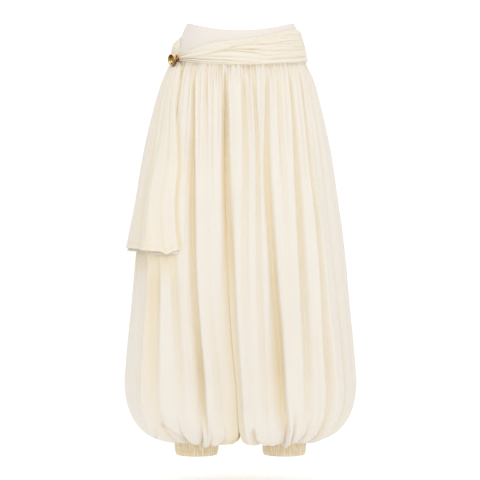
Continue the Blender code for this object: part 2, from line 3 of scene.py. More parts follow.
import math
from collections import namedtuple

import bmesh
import bpy
import numpy as np
from mathutils import Matrix, Vector


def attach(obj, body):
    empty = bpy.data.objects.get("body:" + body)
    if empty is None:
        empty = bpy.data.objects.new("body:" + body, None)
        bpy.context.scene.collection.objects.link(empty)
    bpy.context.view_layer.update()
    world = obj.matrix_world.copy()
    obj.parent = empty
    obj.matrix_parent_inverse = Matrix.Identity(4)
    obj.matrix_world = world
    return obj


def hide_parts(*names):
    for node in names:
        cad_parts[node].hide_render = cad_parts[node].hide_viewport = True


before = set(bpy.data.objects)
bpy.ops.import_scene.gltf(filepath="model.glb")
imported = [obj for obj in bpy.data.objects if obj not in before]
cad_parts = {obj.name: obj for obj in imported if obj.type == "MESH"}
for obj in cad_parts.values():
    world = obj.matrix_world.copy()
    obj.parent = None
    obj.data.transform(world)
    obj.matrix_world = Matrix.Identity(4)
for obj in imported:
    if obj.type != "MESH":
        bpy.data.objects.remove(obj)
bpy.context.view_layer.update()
MM = 0.001

# The solids' driving sizes, as in the part's source
RIM_DROP = -0.012
YOKE_SEAM_DROP = 0.087
PARTS_FROM_DROP = 0.19
CROTCH_DROP = 0.43
WIDEST_DROP = 0.84
BALLOON_HEIGHT = 0.142
CUFF_CENTRE_X = 0.105
CUFF_RADIUS = 0.0535
CUFF_TOP_DROP = 0.966
HEM_DROP = 1.019
HALF_GAP = 0.15 * MM
LEG_GAP = 0.1 * MM
RIM_DIP = {"front": 0.027, "back": 0.010}
SEAM_DIP = {"front": 0.017, "back": 0.008}
DIP_FADES_BY = 0.35
HIP_ROUNDNESS = 2.15
INNER_LEG_ROUNDNESS = 200.0
INNER_SHARE = 4.0
PARTING_DELAY = 1.5
FINE = 301
NORMAL_SPREAD = 14

# Cloth thickness as shown
CREPE = 1.0 * MM
SASH_CREPE = 0.9 * MM

Section = namedtuple("Section", "drop half_width front_depth back_depth")
YOKE_SECTIONS = (
    Section(-0.012, 0.1285, 0.094, 0.096),
    Section(0.010, 0.1385, 0.101, 0.103),
    Section(0.035, 0.1465, 0.107, 0.111),
    Section(0.060, 0.1520, 0.112, 0.118),
    Section(0.087, 0.1560, 0.116, 0.124),
)
LEG_SECTIONS = (
    Section(0.087, 0.1585, 0.118, 0.126),
    Section(0.100, 0.1655, 0.127, 0.134),
    Section(0.132, 0.1790, 0.139, 0.147),
    Section(0.170, 0.1890, 0.147, 0.157),
    Section(0.240, 0.2055, 0.155, 0.167),
    Section(0.315, 0.2200, 0.160, 0.171),
    Section(0.400, 0.2320, 0.163, 0.171),
    Section(0.480, 0.2435, 0.165, 0.170),
    Section(0.560, 0.2525, 0.167, 0.169),
    Section(0.665, 0.2620, 0.170, 0.170),
    Section(0.750, 0.2705, 0.172, 0.172),
    Section(0.840, 0.2780, 0.174, 0.174),
)
Swing = namedtuple("Swing", "drop front back")
SWINGS = (
    Swing(0.087, -0.037, 0.010),
    Swing(0.300, -0.036, 0.012),
    Swing(0.500, -0.030, 0.010),
    Swing(0.650, -0.024, 0.004),
    Swing(0.750, -0.017, -0.004),
    Swing(0.840, -0.008, -0.008),
)
SWING_AT_HEM = {"front": 0.010, "back": -0.012}

# Each row is a valley between two folds: its distance from the middle at four drops, and its depth at three
FOLD_DROPS = (0.10, 0.30, 0.53, 0.84)
DEPTH_DROPS = (0.16, 0.48, 0.84)
Fold = namedtuple("Fold", "name x_top x_hip x_knee x_low deep_top deep_middle deep_low")
FOLDS = {
    "front_left": (
        Fold("d", 0.006, 0.009, 0.008, 0.020, 0.006, 0.004, 0.003),
        Fold("e", 0.030, 0.038, 0.042, 0.054, 0.006, 0.006, 0.006),
        Fold("f", 0.062, 0.062, 0.071, 0.089, 0.010, 0.014, 0.013),
        Fold("g", 0.086, 0.093, 0.106, 0.118, 0.008, 0.005, 0.004),
        Fold("h", 0.112, 0.128, 0.140, 0.151, 0.010, 0.014, 0.013),
        Fold("i", 0.136, 0.160, 0.182, 0.206, 0.009, 0.011, 0.013),
        Fold("j", 0.154, 0.186, 0.213, 0.244, 0.007, 0.009, 0.012),
    ),
    "front_right": (
        Fold("c", -0.080, -0.081, -0.078, -0.048, 0.007, 0.005, 0.007),
        Fold("a", -0.110, -0.113, -0.116, -0.092, 0.010, 0.014, 0.012),
        Fold("k", -0.132, -0.148, -0.154, -0.138, 0.009, 0.011, 0.012),
        Fold("l", -0.147, -0.175, -0.198, -0.196, 0.007, 0.009, 0.010),
        Fold("m", -0.159, -0.200, -0.228, -0.240, 0.005, 0.007, 0.011),
    ),
    "back_left": (
        Fold("p", 0.034, 0.042, 0.046, 0.052, 0.008, 0.007, 0.006),
        Fold("q", 0.066, 0.078, 0.090, 0.092, 0.010, 0.014, 0.012),
        Fold("r", 0.097, 0.118, 0.124, 0.139, 0.008, 0.006, 0.007),
        Fold("s", 0.128, 0.152, 0.171, 0.184, 0.009, 0.013, 0.012),
        Fold("t", 0.150, 0.186, 0.210, 0.236, 0.007, 0.009, 0.011),
    ),
    "back_right": (
        Fold("u", -0.024, -0.026, -0.034, -0.044, 0.008, 0.006, 0.005),
        Fold("v", -0.058, -0.062, -0.068, -0.080, 0.009, 0.013, 0.011),
        Fold("w", -0.094, -0.106, -0.119, -0.128, 0.009, 0.007, 0.008),
        Fold("x", -0.123, -0.149, -0.160, -0.176, 0.009, 0.014, 0.012),
        Fold("y", -0.149, -0.182, -0.208, -0.232, 0.007, 0.009, 0.012),
    ),
}
SIDE_FOLDS = ((0.36, 0.010), (0.70, 0.008))
CORNER = 0.016
FOLD_AT_SEAM = 0.45
FOLD_LEFT_AT_CUFF = 0.12
UNDERSIDE_ARC = math.radians(84)
CURL_RISE = 0.013
CURL_LAP = 0.4 * MM
BAGGINESS = {"inner": 14.0, "front": 2.7, "outer": 2.15}

# A trough runs down between the legs: its depth and the width of its left flank at some drops, and its right flank
TROUGH_DROPS = (0.087, 0.12, 0.22, 0.50, 0.66, 0.84)
Trough = namedtuple("Trough", "deep left crisp right")
TROUGHS = {
    "front": Trough(
        deep=(0.0, 0.008, 0.015, 0.016, 0.014, 0.013),
        left=(0.004, 0.006, 0.009, 0.0135, 0.0135, 0.0105),
        crisp=5.0,
        right=(0.004, 0.005, 0.006, 0.011, 0.020, 0.029),
    ),
    "back": Trough(
        deep=(0.0, 0.006, 0.012, 0.013, 0.012, 0.012),
        left=(0.005, 0.007, 0.012, 0.014, 0.014, 0.012),
        crisp=2.0,
        right=(0.004, 0.006, 0.009, 0.012, 0.014, 0.014),
    ),
}
CRISP_FROM_DROP = 0.40
CRISP_BY_DROP = 0.55
TROUGH_KEPT_AT_HEM = 0.35
# The left leg's edge laps over the right one's, so that no gap shows
LIP = 3.0 * MM
LIP_WIDTH = 9.0 * MM
LIP_DROP = 5.0 * MM
RECESS = 1.8 * MM
RECESS_WIDTH = 4.5 * MM
WALL_POINTS = 80

# How finely the shown cloth is drawn
COLUMNS_PER_FOLD = 24
STRIP_COLUMNS = 38
STRIP_FOCUS = 2.2
ROWS = (("down", 86), ("under", 40), ("curl", 8))


def smooth(xs, ys, at):
    """A smooth curve through a table's points, which doesn't overshoot them."""
    xs, ys = np.asarray(xs, float), np.asarray(ys, float)
    step = np.diff(xs)
    rise = np.diff(ys) / step
    slope = np.zeros_like(ys)
    same = rise[:-1] * rise[1:] > 0
    slope[1:-1][same] = 2 * rise[:-1][same] * rise[1:][same] / (rise[:-1] + rise[1:])[same]
    slope[0], slope[-1] = rise[0], rise[-1]
    at = np.clip(at, xs[0], xs[-1])
    i = np.clip(np.searchsorted(xs, at) - 1, 0, len(step) - 1)
    f = (at - xs[i]) / step[i]
    ends = ys[i] * (1 + 2 * f) * (1 - f) ** 2 + ys[i + 1] * f * f * (3 - 2 * f)
    return ends + step[i] * (slope[i] * f * (1 - f) ** 2 - slope[i + 1] * f * f * (1 - f))


def column(table, name):
    return [getattr(row, name) for row in table]


def ease(x):
    """Rises smoothly from 0 at 0 to 1 at 1."""
    x = np.clip(x, 0, 1)
    return x * x * (3 - 2 * x)


def power(x, p):
    return np.sign(x) * np.abs(x) ** p


def even(x, y, *others):
    """The same line with its points an equal distance apart, and any other values that go with them."""
    along = np.concatenate([[0], np.cumsum(np.hypot(np.diff(x), np.diff(y)))])
    at = np.linspace(0, along[-1], FINE)
    return [np.interp(at, along, values) for values in (x, y, *others)]


# The plain form of the legs, as the solids have it

def parting(drop):
    """How far the cloth has parted into two legs: 0 at the yoke, 1 at the crotch."""
    return ease((drop - PARTS_FROM_DROP) / (CROTCH_DROP - PARTS_FROM_DROP)) ** PARTING_DELAY


def hip_height(share):
    """How far forward the section that both legs share reaches, at a share of its half width."""
    return np.clip(1 - np.abs(share) ** HIP_ROUNDNESS, 0, 1) ** (1 / HIP_ROUNDNESS)


def leg_ring(width, depth):
    """Half of one leg's own section, flatter where the legs face each other."""
    turn = np.linspace(0, math.pi, 4 * FINE)
    inner = ease(1 - turn / math.pi) ** INNER_SHARE
    roundness = HIP_ROUNDNESS + (INNER_LEG_ROUNDNESS - HIP_ROUNDNESS) * inner
    return even(width / 2 * (1 - power(np.cos(turn), 2 / roundness)), depth * power(np.sin(turn), 2 / roundness))


def half_sizes(face, drop):
    drops = column(LEG_SECTIONS, "drop")
    width = smooth(drops, column(LEG_SECTIONS, "half_width"), drop)
    return width, smooth(drops, column(LEG_SECTIONS, face + "_depth"), drop)


def section_line(side, face, drop, kept=1.0):
    """A level's section: across, forward, and how far out from the line between the legs. The legs part in a slit,
    in a trough of which a share is kept."""
    width, depth = half_sizes(face, drop)
    swing = smooth(column(SWINGS, "drop"), column(SWINGS, face), drop)
    parted = parting(drop)
    reach = width * (1 - np.cos(np.linspace(0, math.pi, 4 * FINE))) / 2
    leg = np.interp(reach, *leg_ring(width, depth))
    reach = np.concatenate([np.zeros(WALL_POINTS), reach[1:]])
    leg = np.concatenate([np.linspace(0, leg[1], WALL_POINTS), leg[1:]])
    plain = (1 - parted) * depth * hip_height(reach / width) + parted * leg
    gap = parted * LEG_GAP
    x = side * (gap + reach * (1 - gap / width)) + swing * ease(plain / depth) * (1 - (reach / width) ** 2)
    y = (1 - parted) * depth * hip_height(x / width) + parted * leg
    y = y * depth / np.max(y)
    low = y * (1 - kept * trough_depth(side, face, drop, reach) / depth)
    over = ease((low - np.interp(2 * LEG_GAP, reach, low) + LIP_DROP) / LIP_DROP)
    lip = LIP * parted * (side > 0) * np.exp(-((reach / LIP_WIDTH) ** 2)) * over
    return even(x - lip, low, reach)


def trough_depth(side, face, drop, reach):
    """How deep the trough between the legs is: its left flank is a crisp edge, its right one a long slope."""
    trough = TROUGHS[face]
    deep = smooth(TROUGH_DROPS, trough.deep, drop)
    if side > 0:
        crisp = ease((drop - CRISP_FROM_DROP) / (CRISP_BY_DROP - CRISP_FROM_DROP))
        flank = 2 + (trough.crisp - 2) * crisp
        return deep * np.exp(-((reach / smooth(TROUGH_DROPS, trough.left, drop)) ** flank))
    recess = RECESS * parting(drop) * np.exp(-((reach / RECESS_WIDTH) ** 4))
    return deep * np.exp(-((reach / smooth(TROUGH_DROPS, trough.right, drop)) ** 1.7)) + recess


def panel_section(side, face, drop, kept=1.0):
    """A leg panel's section at a level above the balloon, from the line between the legs to the side seam."""
    x, y, _ = section_line(side, face, drop, kept)
    forward = np.clip(y / half_sizes(face, drop)[1], 0, 1)
    y = y + HALF_GAP
    dip = SEAM_DIP[face] * (1 - ease((drop - YOKE_SEAM_DROP) / (DIP_FADES_BY - YOKE_SEAM_DROP)))
    z = -(drop + dip * forward**2)
    return np.stack([x, y if face == "back" else -y, z], axis=1)


def panel_row(side, face, row):
    """A panel's section at a row: 0 to 1 down to the widest level, 1 to 2 round under it, 2 to 3 up to the cuff."""
    if row <= 1:
        return panel_section(side, face, YOKE_SEAM_DROP + row * (WIDEST_DROP - YOKE_SEAM_DROP))
    kept = 1 - (1 - TROUGH_KEPT_AT_HEM) * float(ease((row - 1) / 0.8))
    ring = panel_section(side, face, WIDEST_DROP, kept)
    middle = np.array([side * CUFF_CENTRE_X, 0, 0])
    share = np.linspace(0, 1, FINE)
    centre_x = (ring[0, 0] + ring[-1, 0]) / 2
    turn = np.arctan2(np.abs(ring[:, 1]), -side * (ring[:, 0] - centre_x))
    turn = (turn - turn[0]) / (turn[-1] - turn[0]) * math.pi
    radius = CUFF_RADIUS + CURL_LAP
    cuff = middle + np.stack(
        [-side * radius * np.cos(turn), (1 if face == "back" else -1) * radius * np.sin(turn), 0 * turn], axis=1
    )
    cuff[:, 1] += (HALF_GAP if face == "back" else -HALF_GAP) * np.abs(np.cos(turn))
    bag = smooth((0, math.pi / 2, math.pi), (BAGGINESS["inner"], BAGGINESS["front"], BAGGINESS["outer"]), turn)
    arc = min(row - 1, 1) * UNDERSIDE_ARC
    out = math.cos(arc) ** (2 / bag)
    down = math.sin(arc) ** (2 / bag)
    rise = 0.0
    if row > 2:
        curl = row - 2
        out = out * (1 - curl) ** 1.3
        down = down + (1 - down) * min(1, 2 * curl)
        rise = CURL_RISE * curl**2
    swing = SWING_AT_HEM[face] - smooth(column(SWINGS, "drop"), column(SWINGS, face), WIDEST_DROP)
    points = cuff + out[:, None] * (ring - cuff)
    points[:, 2] = ring[:, 2] - BALLOON_HEIGHT * down + rise
    points[:, 0] += swing * down * out * ease(np.sin(turn)) * (1 - share) ** 2
    return points


def row_of_drop(drop):
    return (drop - YOKE_SEAM_DROP) / (WIDEST_DROP - YOKE_SEAM_DROP)


def drop_of_row(row):
    return YOKE_SEAM_DROP + min(row, 1) * (WIDEST_DROP - YOKE_SEAM_DROP)


def at_share(points, share):
    fine = np.linspace(0, 1, len(points))
    return np.stack([np.interp(share, fine, points[:, k]) for k in range(3)], axis=1)


def panel_normals(side, face, row):
    """The outward directions of the plain section at each point of a row."""
    step = 0.004
    above = panel_row(side, face, max(row - step, 0))
    below = panel_row(side, face, min(row + step, 3))
    along = np.gradient(panel_row(side, face, row), axis=0)
    normal = np.cross(along, below - above)
    normal *= -side if face == "front" else side
    normal = normal / np.maximum(np.linalg.norm(normal, axis=1, keepdims=True), 1e-12)
    # Softened where the front turns to the side, so that a deep fold there doesn't cross itself
    reach = np.arange(-3 * NORMAL_SPREAD, 3 * NORMAL_SPREAD + 1)
    kernel = np.exp(-((reach / NORMAL_SPREAD) ** 2))
    padded = np.pad(normal, ((len(reach) // 2, len(reach) // 2), (0, 0)), mode="edge")
    soft = np.stack([np.convolve(padded[:, k], kernel / kernel.sum(), "valid") for k in range(3)], axis=1)
    share = np.linspace(0, 1, FINE)
    weight = (ease((share - 0.35) / 0.15) * ease((1 - share) / 0.12))[:, None]
    normal = normal + weight * (soft - normal)
    if row < row_of_drop(0.12):
        normal[:, 2] *= row / row_of_drop(0.12)
    return normal / np.linalg.norm(normal, axis=1, keepdims=True)


def across_row(side, face, drop):
    """How far out a level's row reaches, and a function that gives the share of the row where a fold's x lies."""
    fine = np.linspace(0, 1, FINE)
    width = half_sizes(face, drop)[0]
    reach = section_line(side, face, drop)[2] + 1e-6 * fine
    swing = side * smooth(column(SWINGS, "drop"), column(SWINGS, face), drop)
    swung = reach + swing * (1 - (reach / width) ** 2)
    narrower = min(1, width / half_sizes(face, FOLD_DROPS[0])[0])

    def share_of(x):
        return np.interp(side * x * narrower, swung, fine)

    return reach, share_of


def fold_places(side, face, folds, row):
    """Where a panel's ridges and valleys lie along a row: places in fold counts, and shares of the row."""
    drop = drop_of_row(row)
    reach, share_of = across_row(side, face, drop)
    corner = np.interp(CORNER, reach, np.linspace(0, 1, FINE))
    valleys = []
    for fold in folds:
        x = smooth(FOLD_DROPS, [fold.x_top, fold.x_hip, fold.x_knee, fold.x_low], drop)
        valleys.append(share_of(x))
    last = valleys[-1]
    valleys += [last + (1 - last) * share for share, _ in SIDE_FOLDS]
    places, shares = [-1.0, 0.0], [0.0, corner]
    for k, valley in enumerate(valleys):
        if k:
            places.append(float(k))
            shares.append((valley + valleys[k - 1]) / 2)
        places.append(k + 0.5)
        shares.append(valley)
    places.append(float(len(valleys)))
    shares.append(1.0)
    return np.array(places), np.array(shares)


# The finer cloth form that only shows here

# The width of each valley's inner and outer flank, in mm: the inner one, towards the middle, is the steeper
FLANKS = {"front_left": (5.5, 12.0), "front_right": (6.0, 11.0), "back_left": (6.5, 11.0), "back_right": (7.0, 10.0)}
# Valleys with their own flanks: width in mm and sharpness of the inner and the outer one, at the middle and low down
Flanks = namedtuple("Flanks", "inner outer inner_sharp outer_sharp")
OWN_FLANKS = {
    "front_left": {
        "e": (Flanks(5.5, 7.5, 2.5, 2.0), Flanks(8.0, 8.0, 1.8, 2.0)),
        "f": (Flanks(8.5, 9.0, 2.5, 2.2), Flanks(20.0, 8.5, 1.3, 3.2)),
        "h": (Flanks(6.0, 9.5, 2.5, 1.8), Flanks(7.0, 12.0, 2.0, 1.5)),
        "i": (Flanks(5.0, 9.5, 2.5, 1.8), Flanks(6.0, 12.0, 2.5, 1.5)),
    },
    "front_right": {
        "a": (Flanks(6.0, 10.0, 3.0, 1.7), Flanks(5.5, 15.0, 3.2, 1.3)),
        "k": (Flanks(12.0, 8.0, 1.8, 2.0), Flanks(10.0, 10.0, 1.8, 1.8)),
        "l": (Flanks(6.0, 52.0, 3.2, 1.5), Flanks(8.0, 48.0, 2.5, 1.5)),
    },
}
# How much further out some valleys are shown than the solids have them, at some drops
MOVE_DROPS = (0.30, 0.44, 0.60, 0.735, 0.87)
MOVED = {
    "front_left": {"f": (0.0, 0.0, 0.001, 0.004, 0.004), "i": (0.0, 0.0, 0.0, -0.002, -0.002)},
    "front_right": {"a": (0.0, -0.006, -0.009, -0.006, -0.003), "l": (0.0, 0.0, -0.008, -0.004, 0.0)},
}
# Valleys that start at the yoke and fade on the way down: x at three drops, depth, and the drops it fades between
Short = namedtuple("Short", "x_top x_hip x_low deep fade_from fade_to")
SHORT_FOLDS = {
    "front_left": (
        Short(-0.022, -0.018, -0.014, 0.0030, 0.22, 0.46),
        Short(0.020, 0.022, 0.024, 0.0042, 0.16, 0.38),
        Short(0.048, 0.049, 0.055, 0.0036, 0.24, 0.50),
        Short(0.075, 0.080, 0.090, 0.0034, 0.12, 0.30),
        Short(0.100, 0.112, 0.125, 0.0036, 0.20, 0.42),
        Short(0.127, 0.146, 0.164, 0.0036, 0.28, 0.55),
        Short(0.146, 0.172, 0.198, 0.0034, 0.22, 0.48),
    ),
    "front_right": (
        Short(-0.051, -0.053, -0.050, 0.0032, 0.20, 0.44),
        Short(-0.066, -0.067, -0.064, 0.0040, 0.26, 0.52),
        Short(-0.096, -0.098, -0.098, 0.0036, 0.18, 0.40),
        Short(-0.122, -0.130, -0.136, 0.0034, 0.24, 0.50),
        Short(-0.141, -0.162, -0.176, 0.0034, 0.22, 0.44),
    ),
    "back_left": (
        Short(0.018, 0.022, 0.025, 0.0038, 0.18, 0.42),
        Short(0.050, 0.058, 0.066, 0.0040, 0.24, 0.52),
        Short(0.082, 0.098, 0.106, 0.0034, 0.14, 0.36),
        Short(0.113, 0.136, 0.150, 0.0038, 0.22, 0.48),
        Short(0.140, 0.170, 0.190, 0.0034, 0.20, 0.42),
    ),
    "back_right": (
        Short(-0.004, -0.004, -0.008, 0.0036, 0.20, 0.44),
        Short(-0.041, -0.044, -0.050, 0.0038, 0.16, 0.40),
        Short(-0.076, -0.084, -0.094, 0.0036, 0.26, 0.54),
        Short(-0.108, -0.128, -0.140, 0.0036, 0.18, 0.40),
        Short(-0.137, -0.166, -0.184, 0.0036, 0.22, 0.46),
    ),
}
SHORT_DROPS = (0.10, 0.30, 0.53)
# The cloth hangs in lobes over the cuffs: where each ends, from the middle of the garment out, and how low it hangs
LOBES = {
    "front_left": (
        (0.000, 0), (0.024, 5), (0.106, 6), (0.124, 15), (0.162, 6), (0.203, 5), (0.240, 5), (0.278, 3),
    ),
    "front_right": (
        (0.005, 0), (-0.018, 5), (-0.040, 4), (-0.073, 6), (-0.095, 15), (-0.150, 6), (-0.190, 6), (-0.278, 4),
    ),
    "back_left": ((-0.004, 0), (0.040, 5), (0.104, 6), (0.124, 11), (0.170, 6), (0.226, 5), (0.278, 3)),
    "back_right": ((-0.012, 0), (-0.062, 6), (-0.086, 10), (-0.130, 6), (-0.184, 5), (-0.230, 5), (-0.278, 3)),
}
# The pinches between the lobes
PINCH = 4.5 * MM
PINCH_WIDTH = 8.0 * MM
# A fold that hangs lower than this many mm over a cuff is pinched less on its inner side
HANGING = 10
PINCH_BESIDE_HANGING = 0.1
# Where a puff laps over the cloth under it: rows, x at the widest level, depth, and width of the inner and outer flank
Swag = namedtuple("Swag", "rows x deep inner outer")
SWAGS = {
    "front_left": (
        Swag((1.22, 1.45, 1.75, 2.0), (0.024, 0.023, 0.020, 0.016), 7.0 * MM, 9.0 * MM, 3.5 * MM),
        Swag((1.36, 1.50, 1.70, 2.0), (0.226, 0.212, 0.208, 0.205), 4.0 * MM, 4.0 * MM, 9.0 * MM),
    ),
    "front_right": (
        Swag((1.36, 1.46, 1.56, 1.68, 2.0), (-0.204, -0.184, -0.168, -0.157, -0.150), 9.5 * MM, 4.5 * MM, 13.0 * MM),
        Swag((1.40, 1.60, 1.80, 2.0), (-0.204, -0.226, -0.258, -0.266), 5.0 * MM, 9.0 * MM, 4.0 * MM),
        Swag((1.26, 1.40, 1.65, 2.0), (0.002, -0.006, -0.022, -0.046), 7.0 * MM, 10.0 * MM, 3.5 * MM),
    ),
    "back_left": (
        Swag((1.24, 1.42, 1.70, 2.0), (0.018, 0.022, 0.030, 0.040), 6.0 * MM, 8.0 * MM, 3.5 * MM),
        Swag((1.36, 1.48, 1.62, 2.0), (0.214, 0.192, 0.176, 0.168), 8.0 * MM, 5.0 * MM, 13.0 * MM),
    ),
    "back_right": (
        Swag((1.26, 1.44, 1.70, 2.0), (-0.012, -0.018, -0.026, -0.034), 6.0 * MM, 8.0 * MM, 3.5 * MM),
        Swag((1.38, 1.50, 1.66, 2.0), (-0.204, -0.186, -0.172, -0.164), 8.0 * MM, 5.0 * MM, 12.0 * MM),
    ),
}
# Valleys that are slight beside the sash's ends, and how deep the front's are shown: shares of their depth there
BESIDE_TAIL = ("k", "l")
AS_SHOWN = {
    "front_left": {
        "d": (1.4, 1.0, 1.0), "e": (1.0, 1.2, 1.0), "f": (0.95, 0.72, 1.8), "g": (0.9, 0.4, 0.3),
        "h": (0.8, 0.8, 0.6), "i": (0.9, 0.75, 0.7), "j": (0.8, 0.6, 0.7), "side": (0.3, 0.3, 0.3),
    },
    "front_right": {
        "c": (1.0, 0.4, 0.9), "a": (0.9, 1.0, 2.0), "k": (1.0, 0.9, 0.5), "l": (1.0, 1.35, 0.95),
        "m": (0.15, 0.15, 0.15), "side": (0.15, 0.15, 0.15),
    },
}
# How much further out a valley ends under the widest level
LEANS_OUT = {"front_left": {"f": 0.011, "h": -0.006}, "front_right": {"a": -0.005}}
GATHERS_SHOWN = 4
CUFF_GATHERS = 4
CREASES_PER_FOLD = 4
# How deep a fold dips in where its painted shade is full
DEEP_FOLD = 11.5 * MM
UNDER_SASH = 7.5 * MM
# The painted shadow beside and below the sash end: the width of the line beside its edge, its strength below the hem,
# and the drop it reaches down to
TAIL_EDGE_SHADOW_WIDTH = 8.0 * MM
TAIL_SHADE = 0.75
TAIL_SHADE_TO_DROP = 0.63
PANEL_SEEDS = {"front_left": 11, "front_right": 23, "back_left": 37, "back_right": 53}


def crease_tables(seed, count):
    """Uneven details in a panel, in fold counts across and metres down."""
    draw = np.random.default_rng(seed)
    creases = count * CREASES_PER_FOLD
    start = draw.uniform(0.02, 0.62, creases)
    gathers = (count + 1) * GATHERS_SHOWN
    lower = count * CUFF_GATHERS
    return {
        "crease": (
            (np.arange(creases) + draw.uniform(0.1, 0.9, creases)) / CREASES_PER_FOLD,
            start,
            start + draw.uniform(0.20, 0.75, creases),
            draw.uniform(1.8, 5.0, creases) * MM,
            draw.uniform(0.4, 1.7, creases) * MM,
            draw.uniform(-0.35, 0.35, creases),
        ),
        "gather": (
            (np.arange(gathers) + draw.uniform(0.25, 0.75, gathers)) / GATHERS_SHOWN - 1,
            draw.uniform(0.11, 0.17, gathers) + 0.14 * draw.uniform(0, 1, gathers) ** 3,
            draw.uniform(2.6, 5.4, gathers) * MM,
            draw.uniform(1.7, 2.8, gathers) * MM,
            draw.uniform(-0.6, 0.6, gathers),
        ),
        "cuff": (
            (np.arange(lower) + draw.uniform(0.15, 0.85, lower)) / CUFF_GATHERS,
            draw.uniform(1.30, 1.85, lower),
            draw.uniform(1.5, 4.5, lower) * MM,
            draw.uniform(2.5, 5.5, lower) * MM,
            draw.uniform(-0.35, 0.35, lower),
        ),
        "flank": draw.uniform(0.8, 1.25, (2, count)),
        "wander": draw.uniform(0, 2 * math.pi, count),
    }


def valley_shape(across, inner, outer, inner_sharp=3.2, outer_sharp=2.0):
    """A valley's depth share: by default a steeper inner flank and a longer outer one."""
    return np.where(
        across < 0,
        np.exp(-(np.abs(across / inner) ** inner_sharp)),
        np.exp(-(np.abs(across / outer) ** outer_sharp)),
    )


